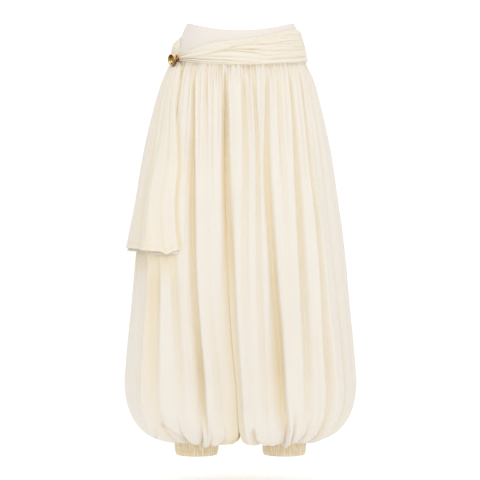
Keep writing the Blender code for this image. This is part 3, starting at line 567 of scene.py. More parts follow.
def shown_depth(side, face, folds, row, places, share, base, details):
    """How far the shown cloth dips in from the plain section at each place along a row."""
    panel = face + "_" + ("left" if side > 0 else "right")
    count = len(folds) + len(SIDE_FOLDS)
    drop = drop_of_row(row)
    level = drop + max(row - 1, 0) * 0.12
    along = np.concatenate([[0], np.cumsum(np.linalg.norm(np.diff(base, axis=0), axis=1))])
    share_of = across_row(side, face, drop)[1]
    shrink = 1.0
    if row > 1:
        shrink = along[-1] / details["widest_length"]
    else:
        details["widest_length"] = along[-1]

    def line_of(x):
        return np.interp(share_of(x), share, along)

    under = ease((level - 0.79) / 0.175)
    near_seam = FOLD_AT_SEAM + (1 - FOLD_AT_SEAM) * ease((drop - YOKE_SEAM_DROP) / 0.06)
    total = np.zeros(len(places))
    inner, outer = FLANKS[panel]
    spread = (0.55 + 0.45 * ease((drop - YOKE_SEAM_DROP) / 0.30)) * MM
    for k in range(count):
        centre = np.interp(k + 0.5, places, along)
        centre += 1.6 * MM * math.sin(9 * level + details["wander"][k]) * ease((drop - 0.12) / 0.2)
        fold_name = folds[k].name if k < len(folds) else "side"
        if k < len(folds):
            centre += LEANS_OUT.get(panel, {}).get(fold_name, 0) * shrink * ease((row - 0.9) / 0.7)
            deep = smooth(DEPTH_DROPS, [folds[k].deep_top, folds[k].deep_middle, folds[k].deep_low], drop)
        else:
            deep = SIDE_FOLDS[k - len(folds)][1]
        deep = deep * smooth(DEPTH_DROPS, AS_SHOWN.get(panel, {}).get(fold_name, (1, 1, 1)), drop)
        if fold_name in BESIDE_TAIL:
            deep = deep * ease((drop - 0.50) / 0.12)
        deep = deep * near_seam * (1 - (1 - FOLD_LEFT_AT_CUFF) * under)
        deep = deep * (1 + 0.18 * math.sin(7 * level + 2.3 * details["wander"][k]))
        flank = details["flank"][:, k] * spread * shrink**0.7
        if fold_name in OWN_FLANKS.get(panel, {}):
            moved = MOVED.get(panel, {}).get(fold_name, (0,) * len(MOVE_DROPS))
            centre += smooth(MOVE_DROPS, moved, drop) * shrink
            middle, low = OWN_FLANKS[panel][fold_name]
            widen = ease((level - 0.53) / 0.31)
            own = Flanks(*(m + (l - m) * widen for m, l in zip(middle, low)))
            scale = spread * shrink**0.7
            flanks = own.inner * scale, own.outer * scale, own.inner_sharp, own.outer_sharp
            shape = valley_shape(along - centre, *flanks)
        else:
            shape = valley_shape(along - centre, inner * flank[0], outer * flank[1])
        total += (deep * shape) ** 3
    for fold in SHORT_FOLDS[panel]:
        alive = 1 - ease((drop - fold.fade_from) / (fold.fade_to - fold.fade_from))
        if alive > 0:
            centre = line_of(smooth(SHORT_DROPS, [fold.x_top, fold.x_hip, fold.x_low], drop))
            deep = fold.deep * alive * (0.5 + 0.5 * near_seam)
            total += (deep * valley_shape(along - centre, 3.2 * MM, 5.5 * MM)) ** 3
    centres, until, deeps, widths, drifts = details["gather"]
    for centre, last, deep, wide, drift in zip(centres, until, deeps, widths, drifts):
        alive = 1 - ease((drop - YOKE_SEAM_DROP) / (last - YOKE_SEAM_DROP))
        if alive > 0:
            at = np.interp(centre + drift * (drop - YOKE_SEAM_DROP), places, along)
            grown = wide * (1 + 5 * (drop - YOKE_SEAM_DROP))
            total += (deep * alive**0.7 * np.exp(-np.abs((along - at) / grown) ** 1.6)) ** 3
    for centre, begin, deep, wide, lean in zip(*details["cuff"]):
        alive = ease((row - begin) / 0.45)
        if alive > 0:
            at = np.interp(centre + lean * (row - 2), places, along)
            total += (deep * alive * np.exp(-np.abs((along - at) / (wide * shrink)) ** 1.6)) ** 3
    for swag in SWAGS[panel]:
        alive = ease((row - swag.rows[0]) / 0.10)
        if alive > 0:
            centre = line_of(smooth(swag.rows, swag.x, row))
            scale = shrink**0.5
            shape = valley_shape(along - centre, swag.inner * scale, swag.outer * scale, 2.2, 2.0)
            total += (swag.deep * alive * shape) ** 3
    total = total ** (1 / 3)
    for centre, begin, end, wide, deep, drift in zip(*details["crease"]):
        alive = ease((level - begin) / 0.10) * ease((end - level) / 0.14)
        if alive > 0:
            at = np.interp(centre + drift * (level - begin), places, along)
            total += deep * alive * np.exp(-(((along - at) / (wide * shrink)) ** 2))
    if row > 1:
        hang = math.sin(math.pi * float(np.clip((row - 1.0) / 1.6, 0, 1))) ** 1.3
        ends = [line_of(x) for x, _ in LOBES[panel]]
        for start, end, (_, low) in zip(ends[:-1], ends[1:], LOBES[panel][1:]):
            swell = np.clip(1 - ((2 * along - start - end) / (end - start)) ** 2, 0, 1)
            total -= low * MM * hang * swell**0.6
        for end, (_, low) in zip(ends[1:-1], LOBES[panel][2:]):
            pinch = PINCH * (PINCH_BESIDE_HANGING if low > HANGING else 1) * float(ease((row - 1.1) / 0.7))
            total += pinch * np.exp(-np.abs((along - end) / (PINCH_WIDTH * shrink)) ** 1.3)
    plain_until = -0.25 - 0.75 * (1 - parting(drop))
    at_seams = ease((places - plain_until) / 0.5) * ease((count - places) / 0.25)
    return total * at_seams


def tail_edge(drop):
    """How far across the sash end's front edge lies."""
    return float(smooth(column(TAIL, "drop"), column(TAIL, "front_x"), drop))


def leg_shell(name, side, face, material):
    panel = face + "_" + ("left" if side > 0 else "right")
    folds = FOLDS[panel]
    count = len(folds) + len(SIDE_FOLDS)
    details = crease_tables(PANEL_SEEDS[panel], count)
    strip = -((1 - np.linspace(0, 1, STRIP_COLUMNS, endpoint=False)) ** STRIP_FOCUS)
    places = np.concatenate([strip, np.linspace(0, count, count * COLUMNS_PER_FOLD + 1)])
    down = np.linspace(0, 1, ROWS[0][1]) ** 1.25
    under = 1 + np.linspace(0, 1, ROWS[1][1] + 1)[1:]
    curl = 2 + np.linspace(0, 1, ROWS[2][1] + 1)[1:]
    outer, inner, painted_shade = [], [], []
    for row in np.concatenate([down, under, curl]):
        share = np.interp(places, *fold_places(side, face, folds, row))
        base = at_share(panel_row(side, face, row), share)
        normal = at_share(panel_normals(side, face, row), share)
        deep = shown_depth(side, face, folds, row, places, share, base, details)[:, None]
        outer.append(base - normal * deep)
        inner.append(base - normal * (deep + CREPE))
        drop = drop_of_row(row)
        reach = np.interp(share, np.linspace(0, 1, FINE), section_line(side, face, drop)[2])
        # Painted shade: a share that grows with how deep the cloth dips in, fuller lower down and more under the
        # balloon
        dip = np.maximum(deep[:, 0], trough_depth(side, face, drop, reach))
        full = DEEP_FOLD * (0.75 + 0.25 * float(ease((drop - YOKE_SEAM_DROP) / 0.12)))
        lower = float(ease((drop - 0.40) / 0.30))
        full = full * (1 + 0.6 * lower)
        shade_share = (1 - lower) * ease(dip / full) + lower * np.clip(dip / full, 0, 1)
        shade_share = np.clip(shade_share * (1 + 0.5 * float(ease((row - 1.1) / 0.6))), 0, 1)
        # Painted shadow: full shade under the sash end and in a line beside its front edge, and the end's shadow on
        # the leg below its hem
        if panel == "front_right":
            edge = tail_edge(drop)
            tail_edge_shadow = np.exp(-(np.clip((base[:, 0] - edge) / TAIL_EDGE_SHADOW_WIDTH, 0, None) ** 4))
            shade_share = np.maximum(shade_share, tail_edge_shadow * float(ease((0.54 - drop) / 0.02)))
            under_tail_shadow = ease((edge - 0.002 - base[:, 0]) / 0.006)
            shade_share = np.maximum(shade_share, TAIL_SHADE * under_tail_shadow * float(ease((TAIL_SHADE_TO_DROP - drop) / 0.09)))
        painted_shade.append(shade_share)
    for tucked in (0.5, 1.0):
        for rows in (outer, inner):
            rows.insert(0, rows[0] * (1 - 0.003 * tucked, 1 - 0.003 * tucked, 1) + (0, 0, UNDER_SASH / 2))
        painted_shade.insert(0, painted_shade[0])
    return wall(name, np.array(outer), np.array(inner), material, painted_shade=np.array(painted_shade))


# Yoke and sash

def hip_point(angle, share, lift=0.0):
    """A point on the yoke: angle round from the middle of the front, share of the way up from seam to rim."""
    face = "front" if math.cos(angle) >= 0 else "back"
    drop = YOKE_SEAM_DROP + share * (RIM_DROP - YOKE_SEAM_DROP)
    width = smooth(column(YOKE_SECTIONS, "drop"), column(YOKE_SECTIONS, "half_width"), drop)
    depth = smooth(column(YOKE_SECTIONS, "drop"), column(YOKE_SECTIONS, face + "_depth"), drop)
    sine, cosine = math.sin(angle), math.cos(angle)
    x = width * power(sine, 2 / HIP_ROUNDNESS)
    y = -depth * power(cosine, 2 / HIP_ROUNDNESS)
    out = Vector((power(sine, 2 - 2 / HIP_ROUNDNESS) / width, -power(cosine, 2 - 2 / HIP_ROUNDNESS) / depth, 0))
    dip = SEAM_DIP[face] + share * (RIM_DIP[face] - SEAM_DIP[face])
    point = Vector((x, y, -(drop + dip * abs(cosine) ** (4 / HIP_ROUNDNESS))))
    return point + out.normalized() * lift


YOKE_COLUMNS = 120
YOKE_ROWS = 40
YOKE_CLOTH = 2.0 * MM


def yoke_shell(name, face, material):
    """A smooth panel with a turned upper edge."""
    start = -90 if face == "front" else 90
    outer, inner, painted_shade = [], [], []
    for share in np.linspace(0, 1, YOKE_ROWS):
        # Painted shade along the lower edge, where the yoke lies under the sash
        painted_shade.append(np.full(YOKE_COLUMNS, float(ease((0.14 - share) / 0.08))))
        out, inside = [], []
        roll = 0.7 * MM * ease((share - 0.97) / 0.03) ** 2
        for place in np.linspace(0, 1, YOKE_COLUMNS):
            angle = math.radians(start + 180 * place)
            soft = 0.5 * MM * math.sin(9 * angle + 3 * share) * math.sin(math.pi * share)
            out.append(hip_point(angle, share, soft - 0.5 * MM * math.sin(math.pi * share) - roll))
            inside.append(hip_point(angle, share, -YOKE_CLOTH + roll))
        out, inside = np.array(out), np.array(inside)
        for points in (out, inside):
            points[:, 1] += -HALF_GAP if face == "front" else HALF_GAP
            if share == 0:
                points[:, 2] += HALF_GAP
        outer.append(out)
        inner.append(inside)
    return wall(name, np.array(outer), np.array(inner), material, painted_shade=np.array(painted_shade))


Wrap = namedtuple("Wrap", "angle lower upper fold_height lift")
SASH_FRONT = (
    Wrap(-68, 0.08, 0.20, 0.0040, 0.0040),
    Wrap(-60, 0.08, 0.25, 0.0042, 0.0034),
    Wrap(-43, 0.07, 0.44, 0.0040, 0.0022),
    Wrap(-25, 0.05, 0.63, 0.0036, 0.0014),
    Wrap(5, 0.05, 0.77, 0.0034, 0.0012),
    Wrap(29, 0.05, 0.83, 0.0032, 0.0012),
    Wrap(54, 0.04, 0.865, 0.0032, 0.0012),
    Wrap(90, 0.07, 0.84, 0.0034, 0.0012),
)
SASH_BACK = (
    Wrap(90, 0.07, 0.84, 0.0034, 0.0012),
    Wrap(130, 0.06, 0.80, 0.0034, 0.0014),
    Wrap(180, 0.06, 0.78, 0.0036, 0.0016),
    Wrap(230, 0.06, 0.76, 0.0040, 0.0030),
    Wrap(258, 0.06, 0.74, 0.0040, 0.0075),
    Wrap(272, 0.07, 0.68, 0.0042, 0.0100),
    Wrap(288, 0.08, 0.42, 0.0040, 0.0085),
)
SASH_CLEAR = 0.5 * MM
SASH_COLUMNS = 200
SASH_ROWS = 110

# The sash's own creases: where each lies across the band and how deep it is, at some places along from the clasp
SASH_RELIEF = 1.35
SASH_PLACES = {"sash_front": (0.0, 0.11, 0.21, 0.34, 0.46, 0.60, 0.80, 1.0), "sash_back": (0.0, 0.33, 0.67, 1.0)}
Crease = namedtuple("Crease", "width lies deep")
SASH_CREASES = {
    "sash_front": (
        Crease(0.045, (0.40, 0.38, 0.40, 0.59, 0.79, 0.84, 0.75, 0.70), (0.3, 0.5, 0.7, 1.0, 0.6, 0.4, 0.5, 0.4)),
        Crease(0.030, (0.62, 0.62, 0.62, 0.66, 0.74, 0.66, 0.57, 0.55), (0.0, 0.0, 0.0, 0.0, 0.9, 0.7, 0.5, 0.5)),
        Crease(0.030, (0.50, 0.50, 0.55, 0.60, 0.57, 0.45, 0.37, 0.35), (0.0, 0.0, 0.1, 0.6, 1.0, 0.7, 0.8, 0.5)),
        Crease(0.028, (0.45, 0.45, 0.50, 0.56, 0.48, 0.28, 0.24, 0.24), (0.0, 0.0, 0.2, 0.9, 0.9, 0.5, 0.3, 0.3)),
        Crease(0.028, (0.36, 0.36, 0.36, 0.33, 0.26, 0.16, 0.16, 0.16), (0.2, 0.3, 0.5, 0.7, 0.6, 0.7, 0.9, 0.5)),
        Crease(0.030, (0.28, 0.28, 0.21, 0.18, 0.10, 0.05, 0.04, 0.04), (0.9, 1.0, 1.0, 0.8, 0.6, 0.2, 0.0, 0.0)),
        Crease(0.020, (0.12, 0.12, 0.08, 0.07, 0.05, 0.04, 0.04, 0.04), (0.8, 0.8, 0.7, 0.5, 0.0, 0.0, 0.0, 0.0)),
        Crease(0.025, (0.92, 0.92, 0.92, 0.92, 0.92, 0.91, 0.84, 0.80), (0.0, 0.0, 0.0, 0.0, 0.0, 0.3, 0.7, 0.6)),
        Crease(0.022, (0.72, 0.72, 0.72, 0.72, 0.72, 0.70, 0.65, 0.62), (0.0, 0.0, 0.0, 0.0, 0.0, 0.3, 0.6, 0.6)),
        Crease(0.022, (0.56, 0.56, 0.56, 0.56, 0.56, 0.55, 0.48, 0.45), (0.0, 0.0, 0.0, 0.0, 0.0, 0.2, 0.5, 0.6)),
        Crease(0.035, (0.75, 0.70, 0.72, 0.80, 0.90, 0.93, 0.95, 0.95), (0.5, 0.4, 0.3, 0.2, 0.2, 0.2, 0.6, 0.2)),
    ),
    "sash_back": (
        Crease(0.030, (0.20, 0.16, 0.12, 0.16), (0.8, 0.6, 0.7, 0.5)),
        Crease(0.028, (0.30, 0.28, 0.30, 0.24), (0.9, 0.5, 0.4, 0.3)),
        Crease(0.030, (0.42, 0.40, 0.36, 0.35), (0.9, 0.7, 0.5, 0.5)),
        Crease(0.028, (0.52, 0.52, 0.50, 0.45), (0.6, 0.9, 0.6, 0.6)),
        Crease(0.026, (0.60, 0.62, 0.60, 0.55), (0.5, 0.5, 0.7, 0.5)),
        Crease(0.030, (0.68, 0.70, 0.66, 0.62), (0.8, 0.4, 0.5, 0.6)),
        Crease(0.028, (0.78, 0.80, 0.74, 0.70), (0.5, 0.8, 0.8, 0.4)),
        Crease(0.026, (0.86, 0.88, 0.84, 0.80), (0.8, 0.6, 0.4, 0.6)),
    ),
}
SASH_SEEDS = {"sash_front": 3, "sash_back": 5}
FINE_SASH_CREASES = 26
SASH_OPENS = {"sash_front": (0.2, 0.05), "sash_back": (-0.15, 0.04)}


def sash_shell(name, table, material):
    """One half of the sash, with creases that draw together towards the clasp."""
    angles = column(table, "angle")
    across = np.linspace(0, 1, SASH_ROWS)
    draw = np.random.default_rng(SASH_SEEDS[name])
    slight = [
        (draw.uniform(0.05, 0.95), draw.uniform(-0.15, 0.15), draw.uniform(0, 1), draw.uniform(0.1, 0.3))
        for _ in range(FINE_SASH_CREASES)
    ]
    grid_out, grid_in, painted_shade = [], [], []
    for place in np.linspace(0, 1, SASH_COLUMNS):
        angle = angles[0] + (angles[-1] - angles[0]) * place
        lower, upper, height, lift = (
            float(smooth(angles, column(table, key), angle)) for key in ("lower", "upper", "fold_height", "lift")
        )
        far = place if name == "sash_front" else 1 - place
        dip = np.zeros(SASH_ROWS)
        for k, crease in enumerate(SASH_CREASES[name]):
            centre = smooth(SASH_PLACES[name], crease.lies, far) + 0.006 * math.sin(9 * far + 2.3 * k)
            side = across - centre
            skew = np.where(side > 0, 1.6, 0.8) * crease.width
            dip = np.maximum(dip, smooth(SASH_PLACES[name], crease.deep, far) * np.exp(-np.abs(side / skew) ** 1.1))
        for centre, lean, middle, reach in slight:
            strength = 0.22 * math.exp(-(((far - middle) / reach) ** 2))
            dip = dip + strength * np.exp(-(((across - centre - lean * (far - middle)) / 0.014) ** 2))
        top = 0.06 + 0.24 * float(ease((angle - 235) / 30))
        edge = ease(across / 0.06) * ease((1 - across) / top)
        at_end, opens_by = SASH_OPENS[name]
        opening = at_end + (1 - at_end) * ease(far / opens_by)
        ridge = (height * SASH_RELIEF * (1 - dip) + lift) * edge**0.7 * opening
        turn = math.radians(angle)
        share = lower + across * (upper - lower)
        inside = [hip_point(turn, s, SASH_CLEAR + r) for s, r in zip(share, ridge)]
        out = [hip_point(turn, s, SASH_CLEAR + r + SASH_CREPE) for s, r in zip(share, ridge)]
        grid_in.append(inside)
        grid_out.append(out)
        # Painted shade in the creases and along the lower edge
        shade = np.maximum(dip, 1 - ease(across / 0.05))
        painted_shade.append(ease(shade) * 0.58)
    out, inside = np.array(grid_out).transpose(1, 0, 2), np.array(grid_in).transpose(1, 0, 2)
    for points in (out, inside):
        points[:, :, 1] += (-HALF_GAP if name == "sash_front" else HALF_GAP) * (points[:, :, 0] > 0)
    return wall(name, out, inside, material, painted_shade=np.array(painted_shade).T)


# Clasp

CLASP_ANGLE = math.radians(-66.5)
CLASP_SHARE = 0.11
CLASP_LIFT = 0.0095
CLASP_SCALE = 1.22
CUP_TILT = (-0.80, -0.56, -0.16)
CUP_RIM_RADIUS = 0.0115
CUP_LENGTH = 0.013
RING_RADIUS = 0.0062
RING_WIRE = 0.0021
RING_RAISED = 0.0015
BEADS = 18
KNOBS = (math.radians(76), math.radians(112))
KNOB_RADIUS = 1.7 * MM


def clasp_frame():
    axis = Vector(CUP_TILT).normalized()
    across = axis.cross(Vector((0, 0, 1))).normalized()
    up = across.cross(axis)
    place = Matrix((across, up, axis)).transposed().to_4x4() @ Matrix.Scale(CLASP_SCALE, 4)
    place.translation = hip_point(CLASP_ANGLE, CLASP_SHARE, CLASP_LIFT)
    return place


# The sash's two hanging ends

End = namedtuple("End", "drop front_x back_share front_lift back_lift wave")
TAIL = (
    End(0.096, -0.140, 0.880, 0.0090, 0.0100, 0.0020),
    End(0.130, -0.144, 0.900, 0.0070, 0.0100, 0.0035),
    End(0.193, -0.150, 0.930, 0.0060, 0.0120, 0.0050),
    End(0.266, -0.146, 0.945, 0.0060, 0.0130, 0.0060),
    End(0.339, -0.143, 0.950, 0.0060, 0.0140, 0.0060),
    End(0.420, -0.149, 0.960, 0.0060, 0.0150, 0.0065),
    End(0.480, -0.146, 0.970, 0.0065, 0.0180, 0.0070),
    End(0.528, -0.139, 0.975, 0.0070, 0.0210, 0.0075),
)
TAIL_CLOTH = 1.5 * MM
TAIL_WAVES = {"sash_tail": 6, "sash_tail_under": 4}
TAIL_ROWS = 110
TAIL_COLUMNS = 120
# The end on top: how far its front edge and its lowest point stand off the leg, how far that edge turns in, how much
# of its waves shows, and how much fuller it is behind the edge
EDGE_LIFT = 2.0 * MM
LOWEST_LIFT = 0.4 * MM
EDGE_TUCK = 5.0 * MM
TOP_WAVE = 0.35
TOP_FULLER = 1.5 * MM
# The end underneath: the same, the gap left under the end on top, how much of its waves shows, how much longer it is,
# how far in its edges lie as shares of the leg's cloth, and where it rises to the end on top
UNDER_LIFT = 2.9 * MM
UNDER_LOWEST = 1.7 * MM
BETWEEN_TAILS = 0.25 * MM
UNDER_WAVE = 0.21
UNDER_LONGER = 0.006
UNDER_INSET_TOP = 0.012
UNDER_INSET_FRONT = 0.010
UNDER_OUTSET_BACK = 0.006
UNDER_RISES_FROM = 0.45
UNDER_RISES_OVER = 0.5

# Creases down the ends: where each lies across them at the top, the middle and the bottom, its width and depth
TailCrease = namedtuple("TailCrease", "top middle bottom width deep")
TAIL_CREASES = (
    TailCrease(0.05, 0.07, 0.06, 0.016, 1.8 * MM),
    TailCrease(0.12, 0.15, 0.15, 0.030, 2.6 * MM),
    TailCrease(0.22, 0.24, 0.21, 0.018, 1.4 * MM),
    TailCrease(0.32, 0.33, 0.28, 0.040, 2.2 * MM),
    TailCrease(0.54, 0.50, 0.47, 0.055, 3.4 * MM),
    TailCrease(0.70, 0.76, 0.70, 0.045, 1.4 * MM),
    TailCrease(0.86, 0.93, 0.92, 0.045, 2.0 * MM),
)
# How much lower the hem hangs at places across it, for the end on top and for the one underneath
HEM_PLACES = (0.0, 0.06, 0.13, 0.19, 0.25, 0.36, 0.60, 1.0)
HEMS = {
    "sash_tail": (0.0, 0.004, 0.0105, 0.0045, 0.0034, 0.001, -0.0024, -0.0035),
    "sash_tail_under": (0.002, 0.005, 0.007, 0.006, 0.0012, 0.0025, -0.0005, -0.003),
}
HEM_ROLL = 1.6 * MM
NECK_ROWS = 18
NECK_WIDTH = 0.021
NECK_FOLDS = 4


def tail_shell(name, material):
    """One hanging end of the sash, on the leg front's plain section, moved out."""
    under = name == "sash_tail_under"
    drops = column(TAIL, "drop")
    waves = TAIL_WAVES[name]
    places = np.linspace(0, 1, TAIL_COLUMNS)
    outer, inner, painted_shade = [], [], []
    for step in np.linspace(0, 1, TAIL_ROWS):
        bottom = drops[-1] + (UNDER_LONGER if under else 0)
        drop = drops[0] + step * (bottom - drops[0])
        front_x, back_share, front_lift, back_lift, wave = (
            float(smooth(drops, column(TAIL, key), drop)) for key in End._fields[1:]
        )
        row = row_of_drop(drop)
        section = panel_row(-1, "front", row)
        reach = np.maximum.accumulate(-section[:, 0]) + np.linspace(0, 1e-6, FINE)
        front_share = np.interp(-front_x, reach, np.linspace(0, 1, FINE))
        if under:
            inset = UNDER_INSET_TOP * (1 - step)
            front_share = front_share + inset + UNDER_INSET_FRONT
            back_share = back_share - inset + UNDER_OUTSET_BACK * step
        share = front_share + places * (back_share - front_share)
        base = at_share(section, share)
        normal = at_share(panel_normals(-1, "front", row), share) * (1, 1, 0)
        lift = front_lift + (back_lift - front_lift) * ease(places)
        if not under:
            lift = EDGE_LIFT + (lift - EDGE_LIFT) * ease((places - 0.02) / 0.13) ** 0.6
        dip = np.zeros(TAIL_COLUMNS)
        for k, crease in enumerate(TAIL_CREASES):
            centre = smooth((0, 0.4, 1), (crease.top, crease.middle, crease.bottom), step)
            centre = centre + 0.012 * math.sin(8 * step + 1.9 * k)
            side = places - centre
            skew = np.where(side > 0, 1.5, 0.8) * crease.width
            deep = crease.deep * (0.8 + 0.2 * math.sin(6 * step + k))
            dip = np.maximum(dip, deep * np.exp(-np.abs(side / skew) ** 1.3))
        drift = 0.05 * np.sin(4 * step + 9 * places)
        ripple = np.abs(np.sin(math.pi * waves * (places + drift * np.sin(math.pi * places)))) ** 1.1
        if under:
            rising = ease((places - UNDER_RISES_FROM) / UNDER_RISES_OVER)
            lift = UNDER_LIFT + (lift - UNDER_LIFT - TAIL_CLOTH - BETWEEN_TAILS) * rising
            lift = np.maximum(lift + UNDER_WAVE * wave * (ripple - 1), UNDER_LOWEST)
        else:
            fuller = TOP_WAVE * wave * ripple * ease(places / 0.10) + TOP_FULLER * ease(places / 0.2)
            lift = np.maximum(lift + fuller - dip, LOWEST_LIFT)
            lift = lift - EDGE_TUCK * (1 - ease(places / 0.018))
        lift = (lift + HEM_ROLL * ease((step - 0.985) / 0.010))[:, None]
        base = base - np.outer(smooth(HEM_PLACES, HEMS[name], places) * ease((step - 0.8) / 0.2), (0, 0, 1))
        outer.append(base + normal * (lift + SASH_CREPE))
        inner.append(base + normal * lift)
        # Painted shade in the creases, and a painted shade line just above the hem's roll
        painted_shade.append(np.clip(dip / (5.5 * MM) + 0.35 * np.exp(-(((step - 0.975) / 0.006) ** 2)), 0, 1))
    if not under:
        start = clasp_frame() @ Vector((0, -0.4 * RING_RADIUS, -RING_WIRE)) + Vector((-0.003, -0.002, 0))
        neck_out, neck_in = [], []
        for step in np.linspace(0, 1, NECK_ROWS, endpoint=False):
            spread = step**1.3
            fold = NECK_WIDTH * 0.12 * np.sin(2 * math.pi * NECK_FOLDS * places)
            width = NECK_WIDTH * (0.5 - places)
            bundle = np.stack([start.x + width, start.y - fold, start.z + 0 * places], axis=1)
            for rows, made, thick in ((outer, neck_out, SASH_CREPE), (inner, neck_in, 0)):
                made.append((1 - spread) * (bundle - np.array((0, thick, 0))) + spread * rows[0])
                made[-1][:, 2] = start.z + step * (rows[0][:, 2] - start.z)
        outer, inner = neck_out + outer, neck_in + inner
        painted_shade = [painted_shade[0]] * NECK_ROWS + painted_shade
    return wall(name, np.array(outer), np.array(inner), material, painted_shade=np.array(painted_shade))


# Cuffs

CUFF_RIBS = 56
CUFF_RIB_HEIGHT = 2.4 * MM
CUFF_ROWS = 26
ELASTIC_ROWS = 4
ELASTIC_PINCH = 0.45 * MM
CUFF_INSIDE = 3.9 * MM


def cuff_shell(name, side, material):
    """A ring of elastic cloth: fine gathers, pinched by rows of elastic."""
    columns = CUFF_RIBS * 10
    draw = np.random.default_rng(7 if side > 0 else 9)
    own = draw.uniform(0.6, 1.1, CUFF_RIBS)
    phase = draw.uniform(0, 2 * math.pi, CUFF_RIBS)
    widths = draw.uniform(0.6, 1.5, CUFF_RIBS)
    edges = np.concatenate([[0], np.cumsum(widths) / np.sum(widths)])
    places = np.arange(columns) / columns
    turn = 2 * math.pi * places
    count = np.interp(places, edges, np.arange(CUFF_RIBS + 1))
    which = np.floor(count).astype(int) % CUFF_RIBS
    inside = np.full(columns, CUFF_RADIUS - CUFF_INSIDE)
    outer, inner, painted_shade = [], [], []

    def ring(radius, drop):
        return np.stack([side * CUFF_CENTRE_X + radius * np.cos(turn), radius * np.sin(turn), 0 * turn - drop], axis=1)

    for step in np.linspace(0, 1, CUFF_ROWS):
        drop = CUFF_TOP_DROP + step * (HEM_DROP - CUFF_TOP_DROP)
        swell = float(smooth((0, 0.5, 0.8, 1), (-1.4, 0.0, -0.5, -3.2), step)) * MM
        drawn = 0.5 + 0.5 * math.cos(2 * math.pi * ELASTIC_ROWS * step)
        grown = own[which] * (0.85 + 0.3 * np.sin(7 * step + phase[which]))
        rib = np.minimum(np.abs(np.sin(math.pi * count)) ** 0.8 * grown, 1.15)
        valley = CUFF_RIB_HEIGHT * (1 - rib) * (0.75 + 0.25 * drawn)
        outer.append(ring(CUFF_RADIUS + swell - valley - ELASTIC_PINCH * drawn, drop))
        inner.append(ring(inside, drop))
        # Painted shade in the valleys between the ribs
        painted_shade.append(ease(1.1 - rib))
    return wall(name, np.array(outer), np.array(inner), material, closed=True, painted_shade=np.array(painted_shade))


def clasp_cup(material):
    rim, long = CUP_RIM_RADIUS, CUP_LENGTH
    stations = (
        (0.0, 0.62), (0.18, 0.61), (0.34, 0.57), (0.46, 0.50), (0.54, 0.42), (0.60, 0.40), (0.68, 0.47),
        (0.78, 0.72), (0.88, 0.93), (0.94, 0.99), (1.0, 0.98), (1.0, 0.91), (0.93, 0.73), (0.82, 0.55),
        (0.66, 0.40), (0.52, 0.30), (0.46, 0.20), (0.47, 0.12), (0.45, 0.05), (0.45, -0.34), (0.0, -0.36),
    )
    profile = [(rim * r, long * z) for r, z in stations]
    mesh = bpy.data.meshes.new("clasp_cup_gold")
    mesh.from_pydata([(r, 0, z) for r, z in reversed(profile)], [(i, i + 1) for i in range(len(profile) - 1)], [])
    cup = link(bpy.data.objects.new("clasp_cup_gold", mesh))
    turned = cup.modifiers.new("turned", "SCREW")
    turned.steps = turned.render_steps = 64
    turned.use_merge_vertices = True
    turned.merge_threshold = 0.00001
    turned.use_normal_calculate = True
    cup.matrix_world = clasp_frame()
    mesh.materials.append(material)
    return cup


def clasp_ring(material):
    """A ring of beads behind the cup's neck, with two small knobs on top."""
    made = bmesh.new()
    for k in range(BEADS):
        turn = 2 * math.pi * k / BEADS
        place = Vector((RING_RADIUS * math.cos(turn), RING_RADIUS * math.sin(turn), 0))
        size = 1.35 * MM if k % 3 else 1.7 * MM
        bmesh.ops.create_uvsphere(made, u_segments=14, v_segments=10, radius=size, matrix=Matrix.Translation(place))
    for turn in KNOBS:
        place = Vector((1.25 * RING_RADIUS * math.cos(turn), 1.25 * RING_RADIUS * math.sin(turn), 0))
        matrix = Matrix.Translation(place)
        bmesh.ops.create_uvsphere(made, u_segments=14, v_segments=10, radius=KNOB_RADIUS, matrix=matrix)
    mesh = bpy.data.meshes.new("clasp_ring_gold")
    made.to_mesh(mesh)
    made.free()
    bpy.ops.mesh.primitive_torus_add(
        major_radius=RING_RADIUS, minor_radius=1.2 * MM, major_segments=64, minor_segments=16
    )
    hoop = bpy.context.object
    joined = bmesh.new()
    joined.from_mesh(mesh)
    joined.from_mesh(hoop.data)
    joined.to_mesh(mesh)
    joined.free()
    bpy.data.objects.remove(hoop, do_unlink=True)
    ring = link(bpy.data.objects.new("clasp_ring_gold", mesh))
    ring.matrix_world = clasp_frame() @ Matrix.Translation((0, RING_RAISED, -RING_WIRE - 2 * HALF_GAP))
    mesh.materials.append(material)
    mesh.shade_smooth()
    return ring


# Meshes

def link(piece):
    bpy.context.scene.collection.objects.link(piece)
    return piece


